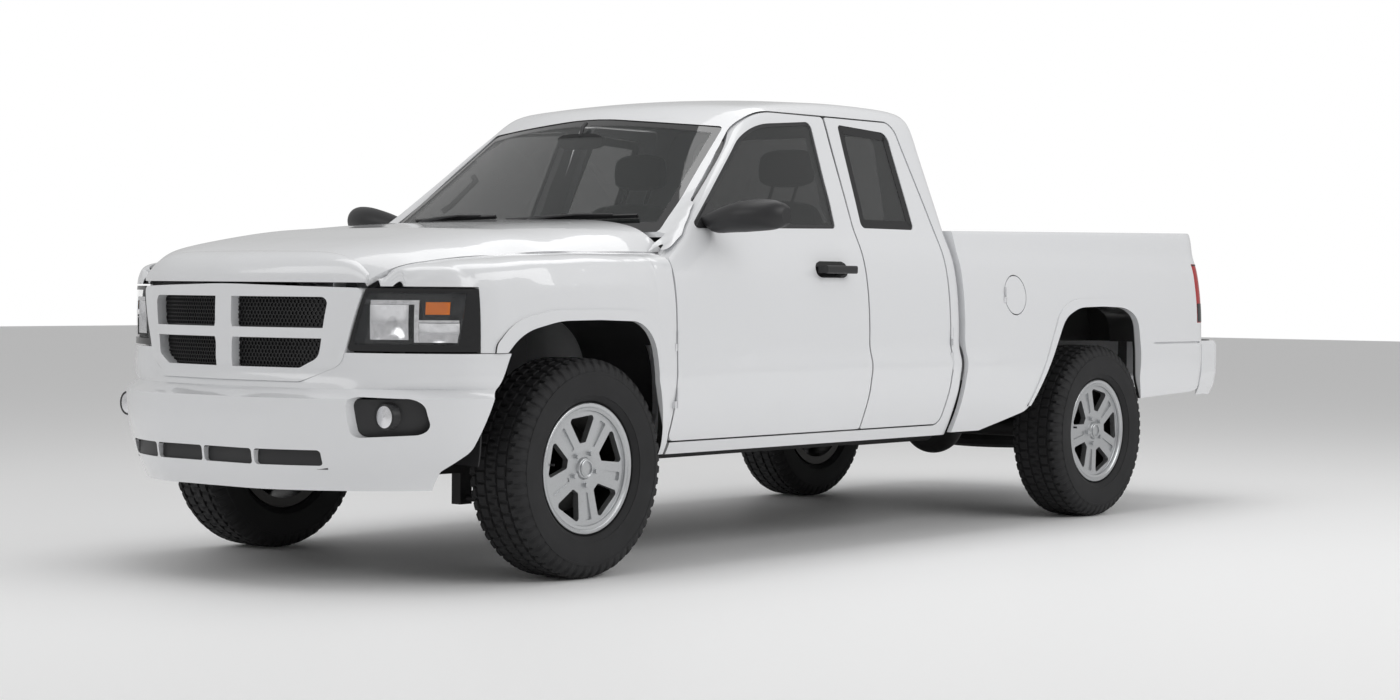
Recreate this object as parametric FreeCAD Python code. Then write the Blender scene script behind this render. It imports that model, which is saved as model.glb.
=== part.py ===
"""Extended-cab pickup truck: ladder frame, hollow cab with two doors a side, load bed with tailgate, four road wheels.

Frame: +X forward, +Y to the truck's left, +Z up, millimetres. The origin is on the ground, midway between the
front and rear bumper faces and midway between the sides.
"""
import FreeCAD, Part
import math
import os

V = FreeCAD.Vector
NODES = {}

# Overall size
LENGTH = 5558.0
FRONT_OVERHANG = 955.0
WHEELBASE = 3335.0
FRONT_AXLE_X = LENGTH / 2 - FRONT_OVERHANG
REAR_AXLE_X = FRONT_AXLE_X - WHEELBASE

# Wheels
TYRE_RADIUS = 374.0
TYRE_WIDTH = 244.0
TREAD_HALF = 92.0
RIM_LIP_RADIUS = 226.0
RIM_WIDTH = 202.0
BARREL_RADIUS = 196.0
BARREL_WALL = 8.0
HALF_TRACK = 765.0
AXLE_Z = TYRE_RADIUS
KINGPIN_Y = 690.0
SPINDLE_RADIUS = 30.0
RUNNING_CLEARANCE = 0.05
SPOKES = 5
WHEEL_BOLTS = 5
BOLT_CIRCLE_RADIUS = 57.0
HUB_RADIUS = 84.0
DISC_RADIUS = 152.0
DISC_Y = 730.0
DISC_THICKNESS = 22.0
SPINDLE_END_Y = 815.0

# Shut lines in side view
DOOR_FRONT_X = 1393.0
DOOR_SPLIT_X = 250.0
REAR_DOOR_BACK_X = -304.0
CAB_BACK_X = -395.0
CAB_FRONT_X = 1378.0
FENDER_BACK_X = 1401.0
DOOR_BOTTOM_Z = 448.0
DOOR_GAP = 8.0
DOOR_FLANGE = 5.0
DOOR_CLEAR_Y = 755.0
FRAME_CLEAR_Y = 560.0
PILLAR_CLEAR_Y = 712.0
HOOD_SIDE_Y = 740.0
DOOR_TOP_Z = 1655.0
HINGE_Y = 898.0
REAR_HINGE_Y = 909.0
HINGE_RADIUS = 3.0
HINGE_PIN_RADIUS = 1.5
HINGE_HEIGHTS = (600.0, 800.0)
REAR_HINGE_HEIGHTS = (700.0, 800.0)
PANEL_GAP = 5.0
CLOSE_GAP = 0.3

# Body side
SILL_Z = 400.0
FLOOR_BOTTOM_Z = 470.0
FLOOR_TOP_Z = 520.0
BELT_Z = 1205.0
TUMBLEHOME = 0.40
CREASE_Z = 698.0
CREASE_DEPTH = 13.0
DOOR_WALL = 80.0
FRAME_WALL = 42.0
ROOF_WALL = 40.0
GLASS_INSET = 4.0
GLASS_THICKNESS = 5.0

# Load bed
BED_FRONT_X = -415.0
BED_BACK_X = -2440.0
BED_FLOOR_Z = 790.0
BED_FLOOR_THICKNESS = 30.0
BED_INNER_Y = 745.0
BED_BOTTOM_Z = 408.0
BED_SKIN = 20.0
TAILGATE_THICKNESS = 55.0
TAILGATE_AXIS_X = -2400.0
TAILGATE_AXIS_Z = 812.0
TAILGATE_LIP = 12.0
TAILGATE_PIN_RADIUS = 8.0
REAR_FACE_X = -LENGTH / 2
TOW_BORE_RADIUS = 13.0
TOW_BORE_X = REAR_FACE_X + 62
STEP_WALL_X = REAR_FACE_X + 34
STEP_LOW_Z = 728.0
PLATE_X = REAR_FACE_X + 24
PLATE_BOLT_Z = 640.0
PLATE_BOLT_SPACING = 178.0
PLATE_BOLT_RADIUS = 3.5
FUEL_DOOR_X = -800.0
FUEL_DOOR_Z = 966.0
FUEL_DOOR_RADIUS = 79.0
FUEL_HINGE_Y = 895.0
SPARE_X = -2150.0
SPARE_Z = 350.0
SPARE_RADIUS = 372.0
TAIL_LAMP_Y = 775.0
STEERING_X = 905.0
STEERING_Y = 375.0
STEERING_Z = 1035.0
STEERING_TILT = 24.0

# Front end
HOOD_THICKNESS = 22.0
FENDER_WALL = 16.0
BUMPER_WALL = 26.0
FLARE_BAND = 36.0
FLARE_DEPTH = 6.0
FLARE_WALL = 14.0

# Ladder frame
RAIL_OUTER_Y = 425.0
RAIL_INNER_Y = 355.0
RAIL_LOW_Z = 345.0
RAIL_FRONT_TOP_Z = 463.0
RAIL_REAR_LOW_Z = 482.0
RAIL_REAR_TOP_Z = 600.0


def keep(name, *shapes):
    """Stores one node made of the given solids."""
    solids = [solid for shape in shapes for solid in shape.Solids]
    NODES[name] = solids[0] if len(solids) == 1 else Part.makeCompound(solids)


def mirrored(shape):
    return shape.mirror(V(0, 0, 0), V(0, 1, 0))


def box(x0, x1, y0, y1, z0, z1):
    return Part.makeBox(x1 - x0, y1 - y0, z1 - z0, V(x0, y0, z0))


def rod(start, end, radius):
    axis = V(*end) - V(*start)
    return Part.makeCylinder(radius, axis.Length, V(*start), axis)


def fused(first, *others):
    return first.fuse(list(others)).removeSplitter() if others else first


def ramp(t):
    """0 to 1 with level ends."""
    t = max(0.0, min(1.0, t))
    return t * t * (3 - 2 * t)


def lookup(value, table):
    """Straight-line reading of a table of (position, size) pairs."""
    if value <= table[0][0]:
        return table[0][1]
    for (a, fa), (b, fb) in zip(table, table[1:]):
        if value <= b:
            return fa + (fb - fa) * (value - a) / (b - a)
    return table[-1][1]


def spline(points):
    if len(points) == 2:
        return Part.makeLine(V(*points[0]), V(*points[1]))
    curve = Part.BSplineCurve()
    curve.interpolate([V(*point) for point in points])
    return curve.toShape()


def ring(*curves):
    """Closed wire from open runs of points, each starting where the last one ends."""
    return Part.Wire([spline(points) for points in curves])


def loft(wires):
    return Part.makeLoft(wires, True, False)


def rounded(points, place):
    """Closed wire round (u, v, corner radius) points, put in space by place(u, v)."""
    count = len(points)
    corners = []
    for i, (u, v, radius) in enumerate(points):
        corner = V(u, v, 0)
        back = V(*points[i - 1][:2], 0) - corner
        ahead = V(*points[(i + 1) % count][:2], 0) - corner
        if radius <= 0:
            corners.append((corner, None, corner))
            continue
        half = back.getAngle(ahead) / 2
        cut = radius / math.tan(half)
        middle = (back.normalize() + ahead.normalize()).normalize() * (radius / math.sin(half) - radius)
        corners.append((corner + back * cut, corner + middle, corner + ahead * cut))
    edges = []
    for i, (start, middle, end) in enumerate(corners):
        start, end = place(start.x, start.y), place(end.x, end.y)
        if middle is not None:
            edges.append(Part.Arc(start, place(middle.x, middle.y), end).toShape())
        following = corners[(i + 1) % count][0]
        following = place(following.x, following.y)
        if (following - end).Length > 1e-6:
            edges.append(Part.makeLine(end, following))
    return Part.Wire(edges)


def side_prism(points, y0, y1):
    """Solid with a side-view outline of (x, z, corner radius) points."""
    wire = rounded(points, lambda u, v: V(u, y0, v))
    return Part.Face(wire).extrude(V(0, y1 - y0, 0))


def front_prism(points, x0, x1):
    """Solid with a front-view outline of (y, z, corner radius) points."""
    wire = rounded(points, lambda u, v: V(x0, u, v))
    return Part.Face(wire).extrude(V(x1 - x0, 0, 0))


def plan_prism(points, z0, z1):
    """Solid with a plan outline of (x, y, corner radius) points."""
    wire = rounded(points, lambda u, v: V(u, v, z0))
    return Part.Face(wire).extrude(V(0, 0, z1 - z0))


# Body side: half width at a height, with the stepped crease along the doors
SIDE_TABLE = [
    (340, 806), (400, 826), (440, 846), (500, 868), (590, 889), (680, 898), (760, 896), (880, 893),
    (960, 887), (1040, 876), (1100, 862), (1150, 844), (1190, 824), (BELT_Z, 816),
]
CREASE_FADE = [(-980, 0.0), (-500, 1.0), (950, 1.0), (1340, 0.0)]
CREASE_TOP = [(-940, 727), (-304, 761), (950, 756), (1280, 700)]


def side_y(x, z):
    """Half width of the painted side at a point in side view."""
    if z <= BELT_Z:
        y = lookup(z, SIDE_TABLE)
    else:
        y = SIDE_TABLE[-1][1] - (z - BELT_Z) * TUMBLEHOME
    step = CREASE_DEPTH * lookup(x, CREASE_FADE)
    top = lookup(x, CREASE_TOP)
    if z < CREASE_Z:
        y += step * ramp((z - 430) / (CREASE_Z - 430))
    elif z < top:
        y += step * (top - z) / (top - CREASE_Z)
    greenhouse = ramp((z - 1000) / 250)
    y -= greenhouse * 45 * max(0.0, (x - 300) / 1050) ** 2
    y -= 9 * max(0.0, (x - 900) / 1300) ** 2
    back = -335 - x
    if CAB_BACK_X - 1 <= x and back > 0:
        y -= 26 * (1 - math.sqrt(max(0.0, 1 - (back / 61.0) ** 2)))
    return y


# Roof and windscreen
ROOF_LINE = [
    (-395, 1706), (-385, 1719), (-370, 1727), (-335, 1735), (-200, 1743), (0, 1745), (200, 1741), (400, 1730),
    (600, 1709), (700, 1693), (800, 1668), (900, 1628), (1000, 1580), (1400, 1380),
]
COWL_Z = 1090.0


def soft_min(a, b, width):
    t = max(0.0, min(1.0, 0.5 + (b - a) / (2 * width)))
    return b + (a - b) * t - width * t * (1 - t)


def top_z(x, y):
    """Height of the roof, the windscreen or the cowl above a point in plan."""
    roof = lookup(x, ROOF_LINE) - 32 * (abs(y) / 600) ** 2
    wrap = (min(abs(y), 720) / 600) ** 2
    screen = (2850 + 40 * wrap - x) / (1.229 + 0.105 * wrap)
    skin = soft_min(roof, screen, 26)
    return -soft_min(-skin, -COWL_Z, 14)


def cab_flank(x, side_inset, frame_inset, top_inset, bottom_z):
    """Points up the left side of the cab at x, from the bottom to where the roof begins."""
    def half(z):
        inset = side_inset + (frame_inset - side_inset) * ramp((z - 1120) / 90)
        return side_y(x, z) - inset

    def cover(y):
        return top_z(x, y) - top_inset

    low, high = 960.0, 1760.0
    for _ in range(50):
        middle = (low + high) / 2
        if middle < cover(half(middle)):
            low = middle
        else:
            high = middle
    corner_z = low
    corner_y = half(corner_z)
    radius = 62 - 34 * ramp((x - 700) / 160)
    knee = (half(corner_z - radius), corner_z - radius)
    brow = (corner_y - radius, cover(corner_y - radius))
    fixed = [470, 520, 590, 650, 686, 700, 742, 764, 820, 890, 960]
    fixed = [bottom_z] + [z for z in fixed if z > bottom_z + 1]
    side = [(half(z), z) for z in fixed]
    side += [(half(960 + (knee[1] - 960) * i / 8), 960 + (knee[1] - 960) * i / 8) for i in range(1, 9)]
    for t in (0.3, 0.55, 0.8):
        y = (1 - t) ** 2 * knee[0] + 2 * t * (1 - t) * corner_y + t * t * brow[0]
        z = (1 - t) ** 2 * knee[1] + 2 * t * (1 - t) * corner_z + t * t * brow[1]
        side.append((y, z))
    side.append(brow)
    return side


def cab_section(x, side_inset, frame_inset, top_inset, bottom_z):
    """Closed cross-section of the cab at x, drawn in from the painted surface."""
    side = cab_flank(x, side_inset, frame_inset, top_inset, bottom_z)
    side += [(side[-1][0] * share, top_z(x, side[-1][0] * share) - top_inset) for share in (0.82, 0.6, 0.35)]
    points = [(x, y, z) for y, z in side] + [(x, 0, top_z(x, 0) - top_inset)]
    points += [(x, -y, z) for y, z in reversed(side)]
    return ring(points, [points[-1], points[0]])


def side_wall(x0, x1, outside, inside, frame_inside=None):
    """Left wall of the cab between two depths under the painted surface."""
    frame_inside = inside if frame_inside is None else frame_inside
    wires = []
    for x in [x0] + [x for x in CAB_STATIONS if x0 + 6 < x < x1 - 6] + [x1]:
        outer = [(x, y, z) for y, z in cab_flank(x, outside, outside, outside, SILL_Z)]
        inner = [(x, y, z) for y, z in cab_flank(x, inside, frame_inside, frame_inside, SILL_Z)][::-1]
        wires.append(ring(outer, [outer[-1], inner[0]], inner, [inner[-1], outer[0]]))
    return loft(wires)


CAB_STATIONS = [
    -395, -387, -370, -335, -200, 0, 250, 450, 600, 700, 760, 820, 880, 950, 1030, 1110, 1190, 1250, 1310, 1378,
]


def cab_solid(side_inset, frame_inset, top_inset, bottom_z, back=0.0, front=0.0):
    stations = [x for x in CAB_STATIONS if CAB_BACK_X + back < x < CAB_FRONT_X - front]
    stations = [CAB_BACK_X + back] + stations + [CAB_FRONT_X - front]
    return loft([cab_section(x, side_inset, frame_inset, top_inset, bottom_z) for x in stations])


# Cab, doors and glass
FRONT_DOOR = [
    (DOOR_FRONT_X, DOOR_BOTTOM_Z, 30), (DOOR_SPLIT_X, DOOR_BOTTOM_Z, 10), (DOOR_SPLIT_X, 1215, 400),
    (DOOR_SPLIT_X - 28, DOOR_TOP_Z, 14), (675, DOOR_TOP_Z, 380), (1256, 1170, 50), (DOOR_FRONT_X, 1088, 26),
]
REAR_DOOR = [
    (DOOR_SPLIT_X - DOOR_GAP, DOOR_BOTTOM_Z, 10), (REAR_DOOR_BACK_X + 12, DOOR_BOTTOM_Z, 40),
    (REAR_DOOR_BACK_X, 700, 500), (REAR_DOOR_BACK_X, 1215, 500), (REAR_DOOR_BACK_X + 62, DOOR_TOP_Z, 60),
    (DOOR_SPLIT_X - 34 - DOOR_GAP, DOOR_TOP_Z, 14), (DOOR_SPLIT_X - DOOR_GAP, 1215, 400),
]
FRONT_GLASS = [(1200, 1200, 14), (358, 1216, 20), (310, 1632, 26), (716, 1601, 440)]
QUARTER_GLASS = [(188, 1222, 20), (-168, 1222, 24), (-190, 1612, 40), (135, 1630, 20)]
REAR_GLASS = [(-540, 1246, 40), (540, 1246, 40), (470, 1618, 60), (-470, 1618, 60)]
FRAME_ROOM = [
    (1000, BELT_Z - 1, 0), (704, BELT_Z - 1, 0), (704, 1225, 0), (655, 1400, 0), (612, 1500, 0), (566, 1560, 0),
    (526, 1650, 0), (515, 1720, 0), (1000, 1720, 0),
]
HOOD_ROOM = [
    (590, 1300, 0), (590, 1166, 0), (620, 1154, 0), (660, 1128, 0), (696, 1088, 0), (738, 1056, 0), (738, 1300, 0),
]
SCREEN = [
    (-706, 1184, 10), (-350, 1193, 300), (0, 1199, 600), (350, 1193, 300), (706, 1184, 10), (690, 1230, 300),
    (588, 1592, 26), (0, 1640, 1800), (-588, 1592, 26), (-690, 1230, 300),
]


def hinge(x, y, z, length, way):
    """Pin on the body and knuckle on the door; way points along X from the body to the door."""
    low = z - length / 2
    high = z + length / 2
    split = low + length * 0.36
    body = rod((x, y, low), (x, y, split), HINGE_RADIUS)
    arm = box(min(x, x - way * 12), max(x, x - way * 12), y - 14, y - 1, low, split)
    pin = rod((x, y, low), (x, y, high), HINGE_PIN_RADIUS)
    knuckle = rod((x, y, split + CLOSE_GAP), (x, y, high), HINGE_RADIUS)
    leaf = box(min(x, x + way * 12), max(x, x + way * 12), y - 14, y - 1, split + CLOSE_GAP, high)
    bore = rod((x, y, low - 1), (x, y, high + 1), HINGE_PIN_RADIUS + CLOSE_GAP)
    return fused(body, arm, pin), knuckle.fuse(leaf).cut(bore)


def door_hinges(x, y, way, heights):
    """Body pins and door knuckles of one door's hinges."""
    parts = [hinge(x, y, z, 70.0, way) for z in heights]
    return [part[0] for part in parts], [part[1] for part in parts]


def shrunk(points, gap=0.3):
    """Outline drawn in by a fitting gap towards its own middle."""
    u0 = sum(point[0] for point in points) / len(points)
    v0 = sum(point[1] for point in points) / len(points)
    return [(u0 + (u - u0) * (1 - gap / 300), v0 + (v - v0) * (1 - gap / 200), r) for u, v, r in points]


def largest(shape):
    return max(shape.Solids, key=lambda solid: solid.Volume)


def build_cab():
    outer = cab_solid(0, 0, 0, SILL_Z)
    cabin = cab_solid(DOOR_WALL, FRAME_WALL, ROOF_WALL, FLOOR_TOP_Z, back=45, front=80)
    shell = outer.cut(cabin)
    shell = shell.cut(box(-500, 1500, -700, 700, SILL_Z - 1, FLOOR_BOTTOM_Z))
    shell = shell.cut(front_prism(SCREEN, 700, 1420))
    shell = shell.cut(front_prism(REAR_GLASS, CAB_BACK_X - 5, CAB_BACK_X + 60))
    opening = [
        (FENDER_BACK_X + 5, DOOR_BOTTOM_Z - 6, 10), (REAR_DOOR_BACK_X + 4, DOOR_BOTTOM_Z - 6, 46),
        (REAR_DOOR_BACK_X - DOOR_GAP, 700, 500), (REAR_DOOR_BACK_X - DOOR_GAP, 1215, 500),
        (REAR_DOOR_BACK_X + 54, DOOR_TOP_Z + 6, 66), (680, DOOR_TOP_Z + 6, 386),
        (1262, 1177, 54), (FENDER_BACK_X + 5, 1098, 30),
    ]
    low = box(-500, 1500, DOOR_CLEAR_Y, 1000, SILL_Z, BELT_Z)
    middle = box(-500, 1285, FRAME_CLEAR_Y, 1000, 960, BELT_Z)
    corner = box(1284, 1500, PILLAR_CLEAR_Y, 1000, 1040, BELT_Z)
    high = front_prism(FRAME_ROOM, -500, 1500)
    hole = side_prism(opening, 300, 1000).common(fused(low, middle, corner, high))
    shell = shell.cut(hole).cut(mirrored(hole))
    room = front_prism(HOOD_ROOM, 1282, 1420)
    shell = shell.cut(room).cut(mirrored(room))
    pins = door_hinges(REAR_DOOR_BACK_X - DOOR_GAP / 2, REAR_HINGE_Y, 1, REAR_HINGE_HEIGHTS)[0]
    keep("cab_shell", largest(shell.fuse(pins + [mirrored(pin) for pin in pins])))

    wires = []
    for y in (-720, -600, -450, -300, -150, 0, 150, 300, 450, 600, 720):
        wrap = (y / 600) ** 2
        lines = []
        for depth in (GLASS_INSET, GLASS_INSET + GLASS_THICKNESS):
            sheet = [(2850 + 40 * wrap - (z + depth) * (1.229 + 0.105 * wrap), y, z) for z in (1090, 1380, 1670)]
            lines.append(sheet)
        lower, upper = lines[1], lines[0]
        wires.append(Part.makePolygon([V(*p) for p in (upper[0], upper[2], lower[2], lower[0], upper[0])]))
    screen = Part.makeLoft(wires, True, False)
    keep("windscreen", largest(screen.common(front_prism(shrunk(SCREEN), 650, CAB_FRONT_X - 6))))
    keep("rear_window", front_prism(shrunk(REAR_GLASS), CAB_BACK_X + 6, CAB_BACK_X + 6 + GLASS_THICKNESS))


def door_panel(outline, window, x0, x1, relief):
    """Door as thick as the cab wall, its closing edge relieved behind a thin outer flange."""
    wall = side_wall(x0, x1, 0, DOOR_WALL, FRAME_WALL)
    panel = largest(wall.common(side_prism(outline, 300, 1000)))
    behind = side_wall(relief[0], relief[1], DOOR_FLANGE, DOOR_WALL + 5, FRAME_WALL + 5)
    panel = panel.cut(behind).cut(side_prism(window, 300, 1000))
    sheet = side_wall(x0, x1, GLASS_INSET, GLASS_INSET + GLASS_THICKNESS)
    glass = sheet.common(side_prism(shrunk(window), 300, 1000))
    return panel, glass


def build_doors():
    front, front_glass = door_panel(FRONT_DOOR, FRONT_GLASS, DOOR_SPLIT_X - 60, FENDER_BACK_X + 4,
                                    (DOOR_SPLIT_X - 50, DOOR_SPLIT_X + 14))
    front = front.cut(box(1270, 1400, 600, HOOD_SIDE_Y, 1050, 1300))
    front = fused(front, *door_hinges((DOOR_FRONT_X + FENDER_BACK_X) / 2, HINGE_Y, -1, HINGE_HEIGHTS)[1])
    rear, rear_glass = door_panel(REAR_DOOR, QUARTER_GLASS, REAR_DOOR_BACK_X - 20, DOOR_SPLIT_X + 20,
                                  (DOOR_SPLIT_X - DOOR_GAP - 64, DOOR_SPLIT_X + 10))
    rear = fused(rear, *door_hinges(REAR_DOOR_BACK_X - DOOR_GAP / 2, REAR_HINGE_Y, 1, REAR_HINGE_HEIGHTS)[1])
    front = largest(front)
    mirror = door_mirror()
    handle = door_handle()
    rear = largest(rear)
    for side, place in (("left", lambda shape: shape), ("right", mirrored)):
        keep("door_" + side, place(front))
        keep("door_glass_" + side, place(front_glass))
        keep("rear_door_" + side, place(rear))
        keep("rear_door_glass_" + side, place(rear_glass))
        keep("mirror_" + side, place(mirror))
        keep("door_handle_" + side, place(handle))


def door_mirror():
    """Mirror head on the sail at the window's front lower corner."""
    rows = [
        (786.5, 1118, 1232, 18, 15), (832, 1114, 1226, 34, 40), (890, 1112, 1234, 48, 50), (960, 1106, 1242, 60, 56),
        (1040, 1088, 1247, 60, 56), (1095, 1070, 1246, 44, 44), (1112, 1064, 1244, 24, 28),
    ]
    wires = []
    for y, x, z, depth, height in rows:
        arc = [(x + depth * math.cos(a), y, z + height * math.sin(a)) for a in
               [math.pi * (i - 4) / 8 for i in range(9)]]
        flat = [(x, y, z + height), (x - 26, y, z + height * 0.9), (x - 26, y, z - height * 0.9),
                (x, y, z - height)]
        wires.append(Part.Wire([spline(arc)] + [spline(flat[i:i + 2]) for i in range(3)]))
    head = loft(wires)
    sail = [(1178, 1204, 4), (1040, 1204, 4), (1046, 1260, 10), (1066, 1300, 10)]
    patch = side_wall(DOOR_SPLIT_X - 60, FENDER_BACK_X + 4, -6, GLASS_INSET - CLOSE_GAP)
    patch = patch.common(side_prism(sail, 700, 1000))
    return fused(head, patch)


def door_handle():
    bar = box(372, 560, 908, 926, 1044, 1074)
    bar = bar.makeFillet(7, [edge for edge in bar.Edges if abs(edge.tangentAt(edge.FirstParameter).x) > 0.9])
    posts = [box(x - 18, x + 18, 875, 912, 1046, 1072) for x in (392, 540)]
    return fused(bar, *posts)

# Front end surface: plan curve of the nose, fullness by height
NOSE_TABLE = [
    (300, 2726), (330, 2738), (400, 2762), (500, 2776), (560, 2779), (622, 2779), (652, 2698), (700, 2678),
    (770, 2680), (880, 2684), (985, 2682), (1030, 2676), (1060, 2668), (1085, 2640), (1110, 2590),
]
BUMPER_PLAN = [
    (0, 0), (0.27, 4), (0.45, 44), (0.585, 105), (0.72, 189), (0.84, 290), (0.93, 410), (0.975, 520), (1.0, 700),
]
LAMP_PLAN = [
    (0, 0), (0.07, 2), (0.365, 33), (0.48, 70), (0.62, 112), (0.72, 152), (0.838, 215), (0.93, 310), (0.975, 420),
    (1.0, 600),
]
SHARES = [0, 0.12, 0.27, 0.4, 0.52, 0.62, 0.72, 0.8, 0.87, 0.93, 0.97, 1.0]


def setback(share, z):
    """How far the nose surface lies behind its middle, at a share of the half width."""
    blend = ramp((z - 625) / 60)
    return lookup(share, BUMPER_PLAN) * (1 - blend) + lookup(share, LAMP_PLAN) * blend


def nose_half(z):
    return lookup(z, SIDE_TABLE) - 8


def front_y(x, z):
    """Half width of the nose surface at x."""
    depth = lookup(z, NOSE_TABLE) - x
    low, high = 0.0, 1.0
    for _ in range(40):
        middle = (low + high) / 2
        if setback(middle, z) < depth:
            low = middle
        else:
            high = middle
    return low * nose_half(z)


def body_y(x, z):
    """Half width of the painted body anywhere along the truck."""
    return min(side_y(x, z), front_y(x, z)) if x > 1950 else side_y(x, z)


def nose_line(z, inset, back_x):
    """Plan curve of the nose at a height, from the right rear end to the left."""
    nose = lookup(z, NOSE_TABLE) - inset
    half = nose_half(z) - inset
    left = [(nose - setback(share, z), share * half, z) for share in SHARES]
    end = (back_x, front_y(back_x + inset, z) - inset, z)
    left = [point for point in left if point[0] > back_x + 20 and point[1] < end[1] - 2] + [end]
    return [(x, -y, z) for x, y, z in reversed(left[1:])] + left


def nose_shell(levels, outside, inside, back_x):
    """Wall of the nose between two depths under its surface, open to the rear."""
    wires = []
    for z in levels:
        outer = nose_line(z, outside, back_x)
        inner = nose_line(z, inside, back_x)[::-1]
        wires.append(ring(outer, [outer[-1], inner[0]], inner, [inner[-1], outer[0]]))
    return loft(wires)


BUMPER_BANDS = [(322, 345, 400, 460, 520, 580, 622), (622, 637, 652), (652, 690, 735, 768)]
LAMP_OUTLINE = [(516, 796, 10), (880, 796, 0), (880, 964, 0), (566, 964, 10)]
LAMP_END = [(2200, 700, 0), (2391, 700, 0), (2391, 796, 0), (2366, 964, 0), (2366, 1000, 0), (2200, 1000, 0)]
GRILLE_OUTLINE = [
    (-342, 672, 40), (342, 672, 40), (476, 729, 60), (552, 978, 18), (0, 990, 4000), (-552, 978, 18), (-476, 729, 60),
]
GRILLE_OPENING = [
    (-330, 716, 26), (330, 716, 26), (400, 750, 40), (434, 948, 22), (-434, 948, 22), (-400, 750, 40),
]
HOOD_EDGE = [
    (1296, 735, 1111), (1560, 733, 1108), (1795, 728, 1105), (2089, 712, 1094), (2300, 682, 1078),
    (2440, 640, 1058), (2520, 592, 1030), (2566, 552, 990),
]
HOOD_CENTRE = [
    (1290, 1238), (1400, 1232), (1600, 1220), (1800, 1206), (2000, 1190), (2200, 1166), (2400, 1134), (2520, 1108),
    (2600, 1084), (2650, 1058), (2684, 1010),
]
HOOD_LIP_Z = 995.5
HOOD_REAR_X = 1368.0
HOOD_REAR_BOW = 72.0
HOOD_AXIS_X = 1336.0
HOOD_AXIS_Z = 1207.0
HOOD_PIN_RADIUS = 2.5
HOOD_HINGE_Y = 450.0


def hood_edge(x, column):
    return lookup(x, [(row[0], row[column]) for row in HOOD_EDGE])


def hood_z(x, y):
    """Height of the hood's upper surface."""
    share = abs(y) / hood_edge(x, 1)
    fall = lookup(share, [(0, 0), (0.35, 0.015), (0.6, 0.05), (0.75, 0.14), (0.86, 0.34), (0.94, 0.64), (1.0, 1.0)])
    centre = lookup(x, HOOD_CENTRE)
    return centre - fall * (centre - hood_edge(x, 2))


def build_hood():
    shares = [0, 0.2, 0.4, 0.55, 0.68, 0.78, 0.86, 0.93, 1.0]
    wires = []
    for x in (1285, 1400, 1560, 1795, 2000, 2200, 2324, 2380, 2440, 2500, 2540, 2552):
        edge = hood_edge(x, 1) - PANEL_GAP / 2
        top = [(x, share * edge, hood_z(x, share * edge)) for share in shares]
        top = [(x, -y, z) for x, y, z in reversed(top[1:])] + top
        low = [(x, y * 0.985, z - HOOD_THICKNESS) for x, y, z in reversed(top)]
        wires.append(ring(top, [top[-1], low[0]], low, [low[-1], top[0]]))
    skin = loft(wires)
    rear = [(HOOD_REAR_X - HOOD_REAR_BOW * (y / 690) ** 2, y, 0) for y in (-760, -500, -250, 0, 250, 500, 760)]
    rear_wire = ring([(x, y, 1050) for x, y, z in rear], [(rear[-1][0], 760, 1050), (1200, 760, 1050)],
                     [(1200, 760, 1050), (1200, -760, 1050)], [(1200, -760, 1050), (rear[0][0], -760, 1050)])
    skin = skin.cut(Part.Face(rear_wire).extrude(V(0, 0, 300)))
    nose = hood_nose()
    skin = fused(skin, nose)
    x = HOOD_AXIS_X
    z = HOOD_AXIS_Z
    for y in (-HOOD_HINGE_Y, HOOD_HINGE_Y):
        for side in (-20, 20):
            skin = skin.cut(box(1290, 1420, y + side - 8, y + side + 8, 1100, z + 9))
        skin = skin.cut(box(1290, x + 9, y - 20, y + 20, 1100, z + 11))
        barrel = rod((x, y - 14, z), (x, y + 14, z), 5)
        arm = box(x, x + 40, y - 11, y + 11, z - 5, z + 1)
        skin = skin.fuse([barrel, arm])
        skin = skin.cut(rod((x, y - 30, z), (x, y + 30, z), HOOD_PIN_RADIUS + CLOSE_GAP))
    keep("hood", skin)


def hood_nose():
    """Blunt front of the hood, rolled down to the grille."""
    wires = []
    for y in (-556, -470, -360, -240, -120, 0, 120, 240, 360, 470, 556):
        share = abs(y) / nose_half(990)
        face = lookup(990, NOSE_TABLE) - setback(share, 990)
        back = 2545.0
        top = hood_z(back, y)
        low = HOOD_LIP_Z
        outer = [(back, y, top), (back + (face - back) * 0.55, y, low + (top - low) * 0.88),
                 (back + (face - back) * 0.9, y, low + (top - low) * 0.55), (face, y, low)]
        inner = [(face - 20, y, low), (back + (face - back) * 0.9 - 20, y, low + (top - low) * 0.5 - 8),
                 (back + (face - back) * 0.55 - 12, y, low + (top - low) * 0.88 - HOOD_THICKNESS),
                 (back, y, top - HOOD_THICKNESS)]
        if face - back < 60:
            face = back + 22
        wires.append(ring(outer, [outer[-1], inner[0]], inner, [inner[-1], outer[0]]))
    return loft(wires)


FENDER_BOTTOM_Z = 402.0
FENDER_LOW_Z = 770.3
FENDER_FOOT = [(1470, 392), (1500, 560), (1560, 690), (1640, 762), (2324, 762), (2380, 880), (2440, 940), (2556, 950)]
FRONT_ARCH = [
    (1424, 250, 0), (1426, 430, 150), (1494, 660, 300), (1532, 868, 130), (1800, 876, 900), (2000, 874, 500),
    (2165, 838, 220), (2236, 764, 40), (2330, 250, 0),
]
FENDER_STATIONS = (FENDER_BACK_X, 1435, 1470, 1500, 1560, 1640, 1795, 1950, 2089, 2200, 2262, 2324, 2380, 2440, 2500, 2540)


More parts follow.
